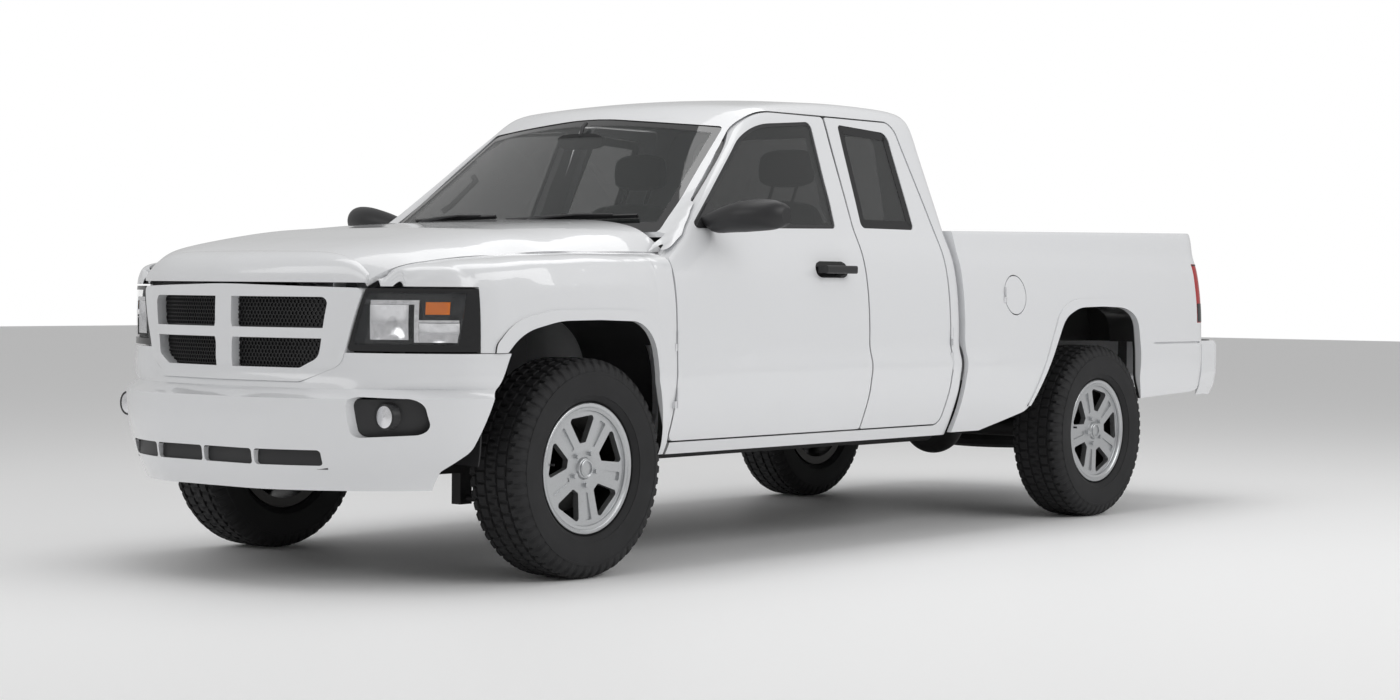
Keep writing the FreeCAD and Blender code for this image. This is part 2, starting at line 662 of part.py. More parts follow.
def fender_wire(x, proud=0.0):
    """Closed thin cross-section of a front fender from its lower edge to the hood line."""
    edge_y = hood_edge(x, 1) + PANEL_GAP / 2 + 1 + 7 * ramp((x - 2380) / 100)
    edge_z = hood_edge(x, 2)
    low_z = lookup(x, FENDER_FOOT)
    wall = FLARE_WALL if proud else FENDER_WALL - 9 * ramp((x - 2380) / 120)
    shoulder_z = max(edge_z - 66, low_z + 0.4 * (edge_z - low_z))
    levels = [low_z + (shoulder_z - low_z) * i / 7 for i in range(8)]
    outer = [(body_y(x, z) + proud, z) for z in levels]
    y0 = outer[-1][0]
    corner = (y0 - 4, edge_z - 2)
    for t in (0.25, 0.5, 0.75, 1.0):
        y = (1 - t) ** 2 * y0 + 2 * t * (1 - t) * corner[0] + t * t * edge_y
        z = (1 - t) ** 2 * shoulder_z + 2 * t * (1 - t) * corner[1] + t * t * edge_z
        outer.append((y, z))
    inner = []
    for i, (y, z) in enumerate(outer):
        before = outer[max(0, i - 1)]
        after = outer[min(len(outer) - 1, i + 1)]
        run = V(0, after[0] - before[0], after[1] - before[1]).normalize()
        inner.append((y - run.z * wall, z + run.y * wall))
    outer = [(x, y, z) for y, z in outer]
    inner = [(x, y, z) for y, z in reversed(inner)]
    return ring(outer, [outer[-1], inner[0]], inner, [inner[-1], outer[0]])


def build_fenders():
    body = loft([fender_wire(x) for x in FENDER_STATIONS])
    body = body.cut(box(2324, 2700, 300, 1000, 700, 984))
    flare = loft([fender_wire(x, FLARE_DEPTH) for x in FENDER_STATIONS if x < 2330])
    flare = flare.common(side_prism(grow(FRONT_ARCH, FLARE_BAND), 600, 1000))
    body = body.fuse(flare)
    body = body.cut(side_prism(FRONT_ARCH, 300, 1000))
    body = body.cut(box(2100, 2330, 300, 1000, 700, FENDER_LOW_Z)).cut(box(1300, 1700, 300, 1000, 100, FENDER_BOTTOM_Z))
    pins = door_hinges((DOOR_FRONT_X + FENDER_BACK_X) / 2, HINGE_Y, -1, HINGE_HEIGHTS)[0]
    tab = box(FENDER_BACK_X + 1, FENDER_BACK_X + 20, 700, 876, 900, 960)
    foot = box(CAB_FRONT_X + CLOSE_GAP, FENDER_BACK_X + 20, 700, 750, 900, 960)
    body = largest(body.fuse(pins + [tab, foot])).cut(box(2496, 2560, 500, 597, 1008, 1060))
    keep("fender_left", largest(body))
    keep("fender_right", mirrored(body))


def build_front():
    bands = [nose_shell(levels, 0, BUMPER_WALL, 2150) for levels in BUMPER_BANDS]
    shell = bands[0].fuse(bands[1:])
    back_line = [(2100, 300, 0), (2400, 300, 0), (2392, 385, 20), (2320, 450, 60), (2268, 640, 200), (2205, 780, 0),
                 (2100, 780, 0)]
    shell = shell.cut(side_prism(back_line, 400, 1000)).cut(side_prism(back_line, -1000, -400))
    shell = shell.cut(front_prism(grow(GRILLE_OUTLINE, 0.5), 2400, 2800))
    for y0, y1 in ((-469, -245), (-235, -5), (5, 235), (245, 469)):
        slot = [(y0, 404, 12), (y1, 404, 12), (y1, 455, 12), (y0, 455, 12)]
        shell = shell.cut(front_prism(slot, 2500, 2900))
    for way in (-1, 1):
        pocket = [(way * 562, 496, 26), (way * 752, 508, 40), (way * 744, 622, 40), (way * 552, 630, 30)]
        shell = shell.cut(front_prism(pocket, 2300, 2900))
    beam = box(2561, 2640, -480, 480, 420, 600)
    horns = [box(2420, 2562, way * 390 - 30, way * 390 + 30, 494, 600) for way in (-1, 1)]
    feet = [box(2470, 2550, way * 390 - 30, way * 390 + 30, 470, 496) for way in (-1, 1)]
    ties = [box(2630, 2790, way * 150 - 15, way * 150 + 15, 520, 600) for way in (-1, 1)]
    beam = fused(beam, *horns, *feet, *ties).cut(rail(1)).cut(rail(-1))
    beam = beam.cut(nose_shell(BUMPER_BANDS[0], -60, BUMPER_WALL + 0.3, 2150))
    keep("front_bumper", shell)
    keep("bumper_beam", largest(beam))

    levels = [655, 675, 700, 735, 770, 825, 880, 940, 996]
    face = nose_shell(levels, -2, 34, 2400)
    ring_part = face.common(front_prism(GRILLE_OUTLINE, 2450, 2800)).cut(front_prism(GRILLE_OPENING, 2400, 2800))
    post = front_prism([(-40, 700, 0), (-40, 800, 60), (-52, 830, 0), (-40, 860, 60), (-40, 965, 0), (40, 965, 0),
                        (40, 860, 60), (52, 830, 0), (40, 800, 60), (40, 700, 0)], 2500, 2800)
    bars = face.common(post).fuse(face.common(box(2500, 2800, -440, 440, 813, 847)))
    keep("grille_frame", fused(ring_part, bars))
    mesh = nose_shell(levels, 34.3, 44, 2400)
    keep("grille_mesh", mesh.common(front_prism(grow(GRILLE_OPENING, 14), 2450, 2800)))

    levels = [765, 800, 850, 900, 950, 990]
    outline = [(495, 774, 10), (900, 774, 0), (900, 978, 0), (558, 978, 10)]
    body = nose_shell(levels, 1, 70, 2250).common(front_prism(outline, 2326, 2800))
    end = side_prism(LAMP_END, 300, 1000)
    cavity = nose_shell(levels, -40, 40, 2250).common(front_prism(LAMP_OUTLINE, 2350, 2850)).cut(end)
    housing = largest(body.cut(cavity).fuse(box(2330.3, 2530, 492, 548, 850, 880)))
    lens = nose_shell(levels, 2, 6, 2250).common(front_prism(shrunk(LAMP_OUTLINE), 2352, 2850))
    end.translate(V(CLOSE_GAP, 0, 0))
    lens = largest(lens.cut(end))
    keep("headlamps", housing, mirrored(housing))
    keep("headlamp_lenses", lens, mirrored(lens))
    sheet = nose_shell(BUMPER_BANDS[0], BUMPER_WALL + 0.3, BUMPER_WALL + 8, 2150)
    sheet = sheet.common(front_prism([(535, 478, 20), (775, 490, 20), (768, 620, 20), (530, 620, 20)], 2300, 2900))
    can = fused(sheet, rod((2535, 650, 565), (2566, 650, 565), 43))
    keep("fog_lamps", can, mirrored(can))


def grow(points, size):
    """Outline moved out from its own middle."""
    u0 = sum(point[0] for point in points) / len(points)
    v0 = sum(point[1] for point in points) / len(points)
    return [(u + math.copysign(size, u - u0), v + math.copysign(size, v - v0), r) for u, v, r in points]


# Load bed
REAR_ARCH = [
    (-600, 250, 0), (-600, 404, 0), (-937, 482, 90), (-1182, 872, 140), (-1300, 914, 260), (-1500, 918, 900),
    (-1690, 912, 260), (-1796, 868, 96), (-1818, 720, 300), (-1822, 600, 100), (-1868, 500, 0), (-1868, 250, 0),
]
BED_STATIONS = (BED_FRONT_X, -700, -980, -1300, -1600, -1900, -2150, -2320)
TAILGATE_HALF = BED_INNER_Y - 6
WHEELHOUSE_Y = 590.0


def rail_z(x):
    return 1224 + (BED_FRONT_X - x) * 0.0155


def bed_y(x, z):
    """Half width of the bedside, rounded in at its rear corner."""
    y = side_y(min(x, CAB_BACK_X - 2), min(z, BELT_Z - 20))
    corner = (BED_BACK_X + 90) - x
    if corner > 0:
        y -= 60 * (1 - math.sqrt(max(0.0, 1 - (corner / 92.0) ** 2)))
    return y


def bedside_wire(x, inset, inner_y, low_z, high_z):
    side = [z for z in (400, 470, 560, 640, 700, 730, 765, 820, 880, 950, 1020, 1090, 1150) if z > low_z + 8]
    side = [z for z in side if z < high_z - 30]
    outer = [(x, bed_y(x, z) - inset, z) for z in [low_z] + side + [high_z - 14]]
    last = bed_y(x, high_z - 14) - inset
    outer += [(x, last - 6, high_z - 3), (x, last - 16, high_z)]
    corner = (x, inner_y, high_z)
    foot = (x, inner_y, low_z)
    return ring(outer, [outer[-1], corner], [corner, foot], [foot, outer[0]])


def build_bed():
    stations = list(BED_STATIONS) + [-2352, -2380, -2405, -2425, BED_BACK_X]
    solid = loft([bedside_wire(x, 0, BED_INNER_Y, BED_BOTTOM_Z, rail_z(x)) for x in stations])
    under = BED_FLOOR_Z - BED_FLOOR_THICKNESS
    hollow = loft([bedside_wire(x, BED_SKIN, BED_INNER_Y - 20, BED_BOTTOM_Z - 30, under) for x in
                   [BED_FRONT_X + 10] + stations[1:-4] + [BED_BACK_X - 10]])
    side = solid.cut(hollow)
    flare = loft([bedside_wire(x, -FLARE_DEPTH, 860, 500, 1060) for x in (-900, -980, -1300, -1600, -1900, -2000)])
    flare = flare.common(side_prism(grow(REAR_ARCH, FLARE_BAND), 700, 1000))
    side = side.fuse(flare).cut(side_prism(REAR_ARCH, 500, 1000))
    side = side.cut(box(-2369, -1945, 886, 1000, 748, 757))
    rise = side_prism([(-1860, 380, 0), (-1860, 506, 0), (-2330, 524, 0), (-2500, 560, 0), (-2500, 380, 0)], 500, 1000)
    side = side.cut(rise)
    lamp_room = box(BED_BACK_X - 10, BED_BACK_X + 96, TAIL_LAMP_Y, 1000, 842, 1112)
    side = side.cut(lamp_room)
    bore = rod((TAILGATE_AXIS_X, BED_INNER_Y - 1, TAILGATE_AXIS_Z), (TAILGATE_AXIS_X, BED_INNER_Y + 16, TAILGATE_AXIS_Z),
               TAILGATE_PIN_RADIUS + CLOSE_GAP)
    side = side.cut(bore)
    pocket = rod((FUEL_DOOR_X, 700, FUEL_DOOR_Z), (FUEL_DOOR_X, 1000, FUEL_DOOR_Z), FUEL_DOOR_RADIUS + PANEL_GAP)
    pocket = pocket.cut(box(-1100, -500, 600, 845, 800, 1100))
    hinge_x = FUEL_DOOR_X + FUEL_DOOR_RADIUS + PANEL_GAP / 2
    left = side.cut(pocket).cut(rod((hinge_x, FUEL_HINGE_Y, FUEL_DOOR_Z - 32), (hinge_x, FUEL_HINGE_Y, FUEL_DOOR_Z + 32), 5))
    left = left.cut(box(hinge_x - 8, hinge_x + 1, FUEL_HINGE_Y - 16, FUEL_HINGE_Y, FUEL_DOOR_Z - 9, FUEL_DOOR_Z + 32))
    door = rod((FUEL_DOOR_X, 700, FUEL_DOOR_Z), (FUEL_DOOR_X, 1000, FUEL_DOOR_Z), FUEL_DOOR_RADIUS)
    stations = (-650, -700, -980)
    plate = loft([bedside_wire(x, 0, 860, 860, 1080) for x in stations])
    pin, knuckle = hinge(hinge_x, FUEL_HINGE_Y, FUEL_DOOR_Z, 60.0, -1)
    keep("fuel_door", fused(plate.common(door).cut(box(-1100, -500, 600, 868, 800, 1100)), knuckle))
    keep("bedside_left", left.fuse(pin))
    keep("bedside_right", mirrored(side))

    lamp = loft([bedside_wire(x, 0, TAIL_LAMP_Y + 0.3, 830, 1150) for x in (-2340, -2352, -2380, -2405, -2425, BED_BACK_X)])
    lamp = lamp.common(box(BED_BACK_X, BED_BACK_X + 95.7, 700, 1000, 842.3, 1111.7))
    keep("tail_lamps", lamp, mirrored(lamp))

    floor = box(BED_BACK_X + 68, BED_FRONT_X, -BED_INNER_Y + 0.3, BED_INNER_Y - 0.3, under, BED_FLOOR_Z)
    head = box(BED_FRONT_X - 32, BED_FRONT_X, -BED_INNER_Y + 0.3, BED_INNER_Y - 0.3, BED_FLOOR_Z, rail_z(BED_FRONT_X))
    parts = [head]
    for way in (-1, 1):
        y0, y1 = sorted((way * WHEELHOUSE_Y, way * (BED_INNER_Y - 0.3)))
        x = REAR_AXLE_X
        outline = [(x - 455, BED_FLOOR_Z - 5, 0), (x - 330, 1000, 90), (x + 330, 1000, 90), (x + 455, BED_FLOOR_Z - 5, 0)]
        parts.append(side_prism(outline, y0, y1))
    ribs = [box(BED_BACK_X + 90, BED_FRONT_X - 40, y - 22, y + 22, BED_FLOOR_Z - 1, BED_FLOOR_Z + 9)
            for y in [k * 88.0 for k in range(-6, 7)]]
    sills = [box(x - 40, x + 40, -690, 690, RAIL_REAR_TOP_Z, under + 1) for x in (-560, -960, -2020, -2330)]
    bed = fused(floor, *parts, *ribs, *sills)
    well = side_prism([(REAR_AXLE_X - 440, 560, 0), (REAR_AXLE_X - 310, 975, 80), (REAR_AXLE_X + 310, 975, 80),
                       (REAR_AXLE_X + 440, 560, 0)], WHEELHOUSE_Y + 16, 900)
    bed = bed.cut(well).cut(mirrored(well))
    keep("load_bed", bed)

    gate = [
        (BED_BACK_X + 6, TAILGATE_AXIS_Z - TAILGATE_LIP, 6), (BED_BACK_X + TAILGATE_THICKNESS, TAILGATE_AXIS_Z - TAILGATE_LIP, 6),
        (BED_BACK_X + TAILGATE_THICKNESS, rail_z(BED_BACK_X), 10), (BED_BACK_X - 4, rail_z(BED_BACK_X), 16),
        (BED_BACK_X + 2, 1180, 30), (BED_BACK_X + 4, 960, 0),
    ]
    slab = side_prism(gate, -TAILGATE_HALF, TAILGATE_HALF)
    recess = front_prism([(-520, 868, 40), (520, 868, 40), (520, 1100, 40), (-520, 1100, 40)], BED_BACK_X - 10, BED_BACK_X + 13)
    slab = slab.cut(recess)
    pins = [rod((TAILGATE_AXIS_X, way * (TAILGATE_HALF - 5), TAILGATE_AXIS_Z),
                (TAILGATE_AXIS_X, way * (BED_INNER_Y + 12), TAILGATE_AXIS_Z), TAILGATE_PIN_RADIUS) for way in (-1, 1)]
    keep("tailgate", fused(slab, *pins))
    cup = front_prism([(-75, 1118, 12), (75, 1118, 12), (75, 1170, 12), (-75, 1170, 12)], BED_BACK_X - 10, BED_BACK_X + 1.7)
    keep("tailgate_handle", cup)


def build_rear_bumper():
    levels = [(505, -80), (545, -34), (610, -4), (700, 0), (740, -4), (757, -30)]
    wires = []
    for z, grow_by in levels:
        back = REAR_FACE_X - grow_by
        points = [(-2443, 868 + grow_by * 0.4, 0), (-2600, 866 + grow_by * 0.4, 90), (back + 26, 720, 140), (back, 330, 300),
                  (back, -330, 300), (back + 26, -720, 140), (-2600, -866 - grow_by * 0.4, 90), (-2443, -868 - grow_by * 0.4, 0)]
        wires.append(rounded(points, lambda u, v, z=z: V(u, v, z)))
    bar = Part.makeLoft(wires, True, True)
    half_room = [(-2400, 836, 0), (-2560, 836, 60), (REAR_FACE_X + 64, 700, 100), (STEP_WALL_X, 320, 300)]
    room = plan_prism(half_room + [(x, -y, r) for x, y, r in half_room[::-1]], 480, STEP_LOW_Z)
    bar = bar.cut(room)
    front_room = box(-2500, -2400, -795, 795, 480, 780)
    bar = bar.cut(front_room)
    plate = box(REAR_FACE_X - 20, PLATE_X, -165, 165, 560, 690)
    bar = bar.cut(plate)
    bar = bar.cut(rod((TOW_BORE_X, 0, 500), (TOW_BORE_X, 0, 800), TOW_BORE_RADIUS))
    for way in (-1, 1):
        y = way * PLATE_BOLT_SPACING / 2
        bar = bar.cut(rod((PLATE_X - 5, y, PLATE_BOLT_Z), (STEP_WALL_X + 5, y, PLATE_BOLT_Z), PLATE_BOLT_RADIUS))
    brackets = [box(STEP_WALL_X - 4, -2500.3, way * 390 - 30, way * 390 + 30, 500, 580) for way in (-1, 1)]
    keep("rear_bumper", fused(bar, *brackets))


# Ladder frame and running gear
def rail(way):
    outline = [
        (2560, RAIL_LOW_Z + 30, 20), (2560, RAIL_FRONT_TOP_Z + 30, 20), (2370, RAIL_FRONT_TOP_Z, 60),
        (-650, RAIL_FRONT_TOP_Z, 60), (-870, RAIL_REAR_TOP_Z, 60), (-2500, RAIL_REAR_TOP_Z, 20),
        (-2500, RAIL_REAR_LOW_Z, 20), (-930, RAIL_REAR_LOW_Z, 60), (-710, RAIL_LOW_Z, 60), (2300, RAIL_LOW_Z, 60),
    ]
    y0, y1 = sorted((way * RAIL_INNER_Y, way * RAIL_OUTER_Y))
    return side_prism(outline, y0, y1)


def build_chassis():
    rails = [rail(-1), rail(1)]
    inner = RAIL_INNER_Y + 2
    crosses = [rod((x, -inner, z), (x, inner, z), r) for x, z, r in
               ((2480, 440, 36), (-1040, 560, 30), (-1700, 552, 30), (-2440, 540, 34))]
    crosses += [box(x - 45, x + 45, -inner, inner, RAIL_FRONT_TOP_Z - 22, RAIL_FRONT_TOP_Z) for x in (480, 60)]
    hangers = []
    for way in (-1, 1):
        for x, z in ((-950.7, 380), (-2071.3, 430)):
            hangers.append(box(x - 20, x + 20, way * 390 - 35, way * 390 + 35, z, RAIL_REAR_LOW_Z + 4))
    mounts = [box(x - 35, x + 35, way * 390 - 30, way * 390 + 30, RAIL_FRONT_TOP_Z - 1, FLOOR_BOTTOM_Z + 0.0)
              for x in (1150, -100) for way in (-1, 1)]
    towers = []
    for way in (-1, 1):
        towers.append(box(FRONT_AXLE_X - 60, FRONT_AXLE_X + 60, way * 405 - 20, way * 405 + 20, 440, 720))
    keep("frame_rails", fused(rails[0], rails[1], *crosses, *hangers, *mounts, *towers))

    arms = []
    for way in (-1, 1):
        for z0, z1, spread in ((244, 268, 140), (486, 508, 110)):
            legs = []
            for sign in (-1, 1):
                a = V(FRONT_AXLE_X + sign * spread, way * 400, (z0 + z1) / 2)
                b = V(FRONT_AXLE_X, way * (KINGPIN_Y - 6), (z0 + z1) / 2)
                legs.append(rod((a.x, a.y, a.z), (b.x, b.y, b.z), (z1 - z0) / 2))
            pad = rod((FRONT_AXLE_X, way * KINGPIN_Y, z0), (FRONT_AXLE_X, way * KINGPIN_Y, z1), 20)
            stub = (z1, z1 + 26) if z0 < AXLE_Z else (z0 - 26, z0)
            pin = rod((FRONT_AXLE_X, way * KINGPIN_Y, stub[0]), (FRONT_AXLE_X, way * KINGPIN_Y, stub[1]), 9)
            arms.append(fused(pad, pin, *legs))
    cut_rails = fused(rails[0], rails[1])
    tower_block = fused(*towers)
    arms = [arm.cut(cut_rails).cut(tower_block) for arm in arms]
    lower_mounts = []
    for way in (-1, 1):
        for sign in (-1, 1):
            x = FRONT_AXLE_X + sign * 140
            lower_mounts.append(box(x - 28, x + 28, way * 404 - 21, way * 404 + 21, 236, RAIL_LOW_Z))
    lowers = fused(*[arm for arm in arms], *lower_mounts)
    keep("control_arms", lowers)

    low = 268 + CLOSE_GAP
    high = 486 - CLOSE_GAP
    y = KINGPIN_Y
    body = rod((FRONT_AXLE_X, y, low), (FRONT_AXLE_X, y, high), 24)
    flange = rod((FRONT_AXLE_X, y, AXLE_Z), (FRONT_AXLE_X, DISC_Y - DISC_THICKNESS / 2 - 6, AXLE_Z), 48)
    spindle = rod((FRONT_AXLE_X, y, AXLE_Z), (FRONT_AXLE_X, SPINDLE_END_Y, AXLE_Z), SPINDLE_RADIUS)
    caliper = box(FRONT_AXLE_X - 166, FRONT_AXLE_X - 92, 684, 706, AXLE_Z - 58, AXLE_Z + 58)
    link = box(FRONT_AXLE_X - 100, FRONT_AXLE_X, 684, 704, AXLE_Z - 22, AXLE_Z + 22)
    shape = fused(body, flange, spindle, caliper, link)
    for z0, z1 in ((low - 1, 268 + 26.4), (486 - 26.4, high + 1)):
        shape = shape.cut(rod((FRONT_AXLE_X, y, z0), (FRONT_AXLE_X, y, z1), 9 + CLOSE_GAP))
    keep("knuckle_left", shape)
    keep("knuckle_right", mirrored(shape))

    x = REAR_AXLE_X
    tube = rod((x, -DISC_Y + 16, AXLE_Z), (x, DISC_Y - 16, AXLE_Z), 42)
    shafts = [rod((x, way * 660, AXLE_Z), (x, way * SPINDLE_END_Y, AXLE_Z), SPINDLE_RADIUS) for way in (-1, 1)]
    housing = Part.makeSphere(138, V(x, 0, AXLE_Z))
    nose = rod((x, 0, AXLE_Z), (x + 250, 0, AXLE_Z + 12), 48)
    springs = []
    for way in (-1, 1):
        for k in range(3):
            springs.append(leaf_spring(way, k))
        springs.append(box(x - 62, x + 62, way * 390 - 34, way * 390 + 34, AXLE_Z + 42.3, AXLE_Z + 50.2))
    keep("rear_axle", fused(tube, housing, nose, *shafts))
    keep("leaf_springs", fused(*springs[:4]), fused(*springs[4:]))

    block = box(1480, 2080, -250, 250, 470, 960)
    block = block.makeChamfer(40, [edge for edge in block.Edges if abs(edge.tangentAt(0).x) > 0.9])
    feet = [box(1600, 1680, way * 310 - 90, way * 310 + 90, RAIL_FRONT_TOP_Z + 0.3, 540) for way in (-1, 1)]
    keep("engine_block", fused(block, *feet))
    bell = loft([circle_wire(1479.7, 0, 540, 150), circle_wire(1386, 0, 382, 80)])
    gearbox = loft([circle_wire(1392, 0, 384, 78), circle_wire(1300, 0, 388, 72), circle_wire(700, 0, 392, 62)])
    shaft = rod((710, 0, 392), (x + 253, 0, AXLE_Z + 12), 36)
    keep("driveline", fused(bell, gearbox, shaft))
    radiator = box(2330, 2390, -430, 430, 478, 965)
    support = fused(box(2300, 2330, -560, 560, 470, 520), box(2290, 2330, -560, 560, 935, 968),
                    box(2300, 2330, -560, -500, 470, 960), box(2300, 2330, 500, 560, 470, 960))
    feet = [box(2300, 2330, way * 390 - 30, way * 390 + 30, RAIL_FRONT_TOP_Z + 0.3, 472) for way in (-1, 1)]
    keep("radiator_support", fused(radiator, support, *feet))
    pipe = bent_pipe([(1590, -290, 430), (1300, -290, 395), (300, -270, 380), (-100, -250, 375)], 27, 200)
    muffler = rod((-60, -240, 375), (-640, -240, 375), 84)
    tail = bent_pipe([(-600, -270, 370), (-780, -310, 318), (-960, -510, 318), (-1290, -520, 462), (-1730, -520, 462),
                      (-2080, -530, 396), (-2440, -550, 396)], 24, 90)
    straps = [box(x - 14, x + 14, -RAIL_INNER_Y + 0.3, -300, 372, 384) for x in (-200, -520)]
    keep("exhaust", fused(muffler, pipe, tail, *straps))
    tank = box(-1000, -430, 110, RAIL_INNER_Y - 0.3, 330, 590)
    keep("fuel_tank", tank.makeFillet(30, tank.Edges))


def circle_wire(x, y, z, radius):
    return Part.Wire(Part.makeCircle(radius, V(x, y, z), V(1, 0, 0)))


def bent_pipe(points, radius, bend):
    """Round pipe along straight runs joined by bends."""
    points = [V(*point) for point in points]
    start = points[0]
    edges = []
    for before, corner, after in zip(points, points[1:], points[2:]):
        back = (before - corner).normalize()
        ahead = (after - corner).normalize()
        half = back.getAngle(ahead) / 2
        cut = bend / math.tan(half)
        middle = corner + (back + ahead).normalize() * (bend / math.sin(half) - bend)
        edges.append(Part.makeLine(start, corner + back * cut))
        edges.append(Part.Arc(corner + back * cut, middle, corner + ahead * cut).toShape())
        start = corner + ahead * cut
    edges.append(Part.makeLine(start, points[-1]))
    profile = Part.Wire(Part.makeCircle(radius, points[0], points[1] - points[0]))
    return Part.Wire(edges).makePipeShell([profile], True, True)


def leaf_spring(way, k):
    half = 540 - k * 140
    sag = 28.0 * (half / 540.0) ** 2
    z = AXLE_Z + 68 - 9 * k
    top = [(REAR_AXLE_X + half, z + sag), (REAR_AXLE_X, z), (REAR_AXLE_X - half, z + sag)]
    y = way * 390 - 30
    upper = [(px, y, pz + 9.2) for px, pz in top]
    lower = [(px, y, pz) for px, pz in reversed(top)]
    return Part.Face(ring(upper, [upper[-1], lower[0]], lower, [lower[-1], upper[0]])).extrude(V(0, 60, 0))


# Wheels
def revolved(points, x, way):
    """Solid of revolution about the axle from (radius, y) points with corner radii."""
    wire = rounded(points, lambda u, v: V(x + u, way * v, AXLE_Z))
    return Part.Face(wire).revolve(V(x, 0, AXLE_Z), V(0, 1, 0), 360)


def build_wheel(x, way, name, phase):
    y0 = HALF_TRACK - TYRE_WIDTH / 2
    y1 = HALF_TRACK + TYRE_WIDTH / 2
    bead0 = HALF_TRACK - RIM_WIDTH / 2
    bead1 = HALF_TRACK + RIM_WIDTH / 2
    tyre = [
        (BARREL_RADIUS + 0.3, bead0 + 8, 0), (BARREL_RADIUS + 0.3, bead1 - 8, 0), (RIM_LIP_RADIUS + 6, bead1 - 8, 0),
        (RIM_LIP_RADIUS + 34, y1 - 3, 0), (TYRE_RADIUS - 62, y1, 0), (TYRE_RADIUS - 20, y1 - 14, 0),
        (TYRE_RADIUS, HALF_TRACK + TREAD_HALF, 0), (TYRE_RADIUS, HALF_TRACK - TREAD_HALF, 0),
        (TYRE_RADIUS - 20, y0 + 14, 0), (TYRE_RADIUS - 62, y0, 0), (RIM_LIP_RADIUS + 34, y0 + 3, 0),
        (RIM_LIP_RADIUS + 6, bead0 + 8, 0),
    ]
    solid = [
        (BARREL_RADIUS - BARREL_WALL, bead0 + 6, 0), (BARREL_RADIUS - BARREL_WALL, bead1 - 22, 0),
        (RIM_LIP_RADIUS - 16, bead1 - 4, 4), (RIM_LIP_RADIUS - 4, bead1 - 2, 4), (RIM_LIP_RADIUS - 3, bead1 - 7.7, 0),
        (BARREL_RADIUS, bead1 - 7.7, 0), (BARREL_RADIUS, bead0 + 7.7, 0), (RIM_LIP_RADIUS - 3, bead0 + 7.7, 0),
        (RIM_LIP_RADIUS - 4, bead0, 0), (BARREL_RADIUS - BARREL_WALL, bead0, 0),
    ]
    keep("tyre_" + name, revolved(tyre, x, way))
    barrel = revolved(solid, x, way)
    face_y = bead1 - 18
    dish = revolved([(0, face_y - 26, 0), (0, face_y - 4, 0), (60, face_y - 4, 8), (BARREL_RADIUS - 2, face_y + 2, 0),
                     (BARREL_RADIUS - 2, face_y - 22, 0), (70, face_y - 30, 8)], x, way)
    step = 2 * math.pi / SPOKES
    window = [(88, -0.17, 8), (BARREL_RADIUS - BARREL_WALL, -0.36, 12), (BARREL_RADIUS - BARREL_WALL, 0.36, 12), (88, 0.17, 8)]
    channel = [(84, -0.10, 6), (178, -0.09, 6), (178, 0.09, 6), (84, 0.10, 6)]
    for k in range(SPOKES):
        spoke = phase + k * step
        dish = dish.cut(wheel_prism(x, way, spoke + step / 2, window, 780, 900))
        dish = dish.cut(wheel_prism(x, way, spoke, channel, face_y - 7, 900))
    hub = revolved([(SPINDLE_RADIUS + RUNNING_CLEARANCE, DISC_Y - 8, 0), (SPINDLE_RADIUS + RUNNING_CLEARANCE, SPINDLE_END_Y + 3, 0),
                    (0, SPINDLE_END_Y + 3, 0), (0, face_y + 6, 0), (34, face_y + 6, 6), (40, face_y - 6, 0),
                    (HUB_RADIUS - 10, face_y - 12, 0), (HUB_RADIUS, DISC_Y - 8, 0)], x, way)
    disc = revolved([(HUB_RADIUS - 4, DISC_Y - DISC_THICKNESS / 2, 0), (DISC_RADIUS, DISC_Y - DISC_THICKNESS / 2, 0),
                     (DISC_RADIUS, DISC_Y + DISC_THICKNESS / 2, 0), (HUB_RADIUS - 4, DISC_Y + DISC_THICKNESS / 2, 0)], x, way)
    nuts = []
    for k in range(WHEEL_BOLTS):
        a = phase + k * step
        nx = x + BOLT_CIRCLE_RADIUS * math.cos(a)
        nz = AXLE_Z + BOLT_CIRCLE_RADIUS * math.sin(a)
        nuts.append(rod((nx, way * (face_y - 14), nz), (nx, way * (face_y + 8), nz), 9))
    keep("rim_" + name, fused(barrel, dish, hub, disc, *nuts))


def wheel_prism(x, way, angle, corners, y0, y1):
    """Prism along the axle with an outline of (radius, angle off the middle, corner radius) points."""
    flat = [(x + radius * math.cos(angle + off), AXLE_Z + radius * math.sin(angle + off), r) for radius, off, r in corners]
    low, high = sorted((way * y0, way * y1))
    return side_prism(flat, low, high)


def build_spare():
    half = [(196, 76, 0), (226, 96, 0), (300, 100, 0), (346, 84, 0), (SPARE_RADIUS, 60, 0)]
    profile = half + [(radius, -z, r) for radius, z, r in half[::-1]]
    wire = rounded(profile, lambda u, v: V(SPARE_X + u, 0, SPARE_Z + v))
    tyre = Part.Face(wire).revolve(V(SPARE_X, 0, SPARE_Z), V(0, 0, 1), 360)
    disc = Part.makeCylinder(200, 24, V(SPARE_X, 0, SPARE_Z - 12))
    keep("spare_wheel", fused(tyre, disc))
    beam = box(SPARE_X - 30, SPARE_X + 30, -RAIL_INNER_Y, RAIL_INNER_Y, 545, 560)
    keep("spare_hanger", fused(beam, rod((SPARE_X, 0, SPARE_Z + 12), (SPARE_X, 0, 549), 10)))


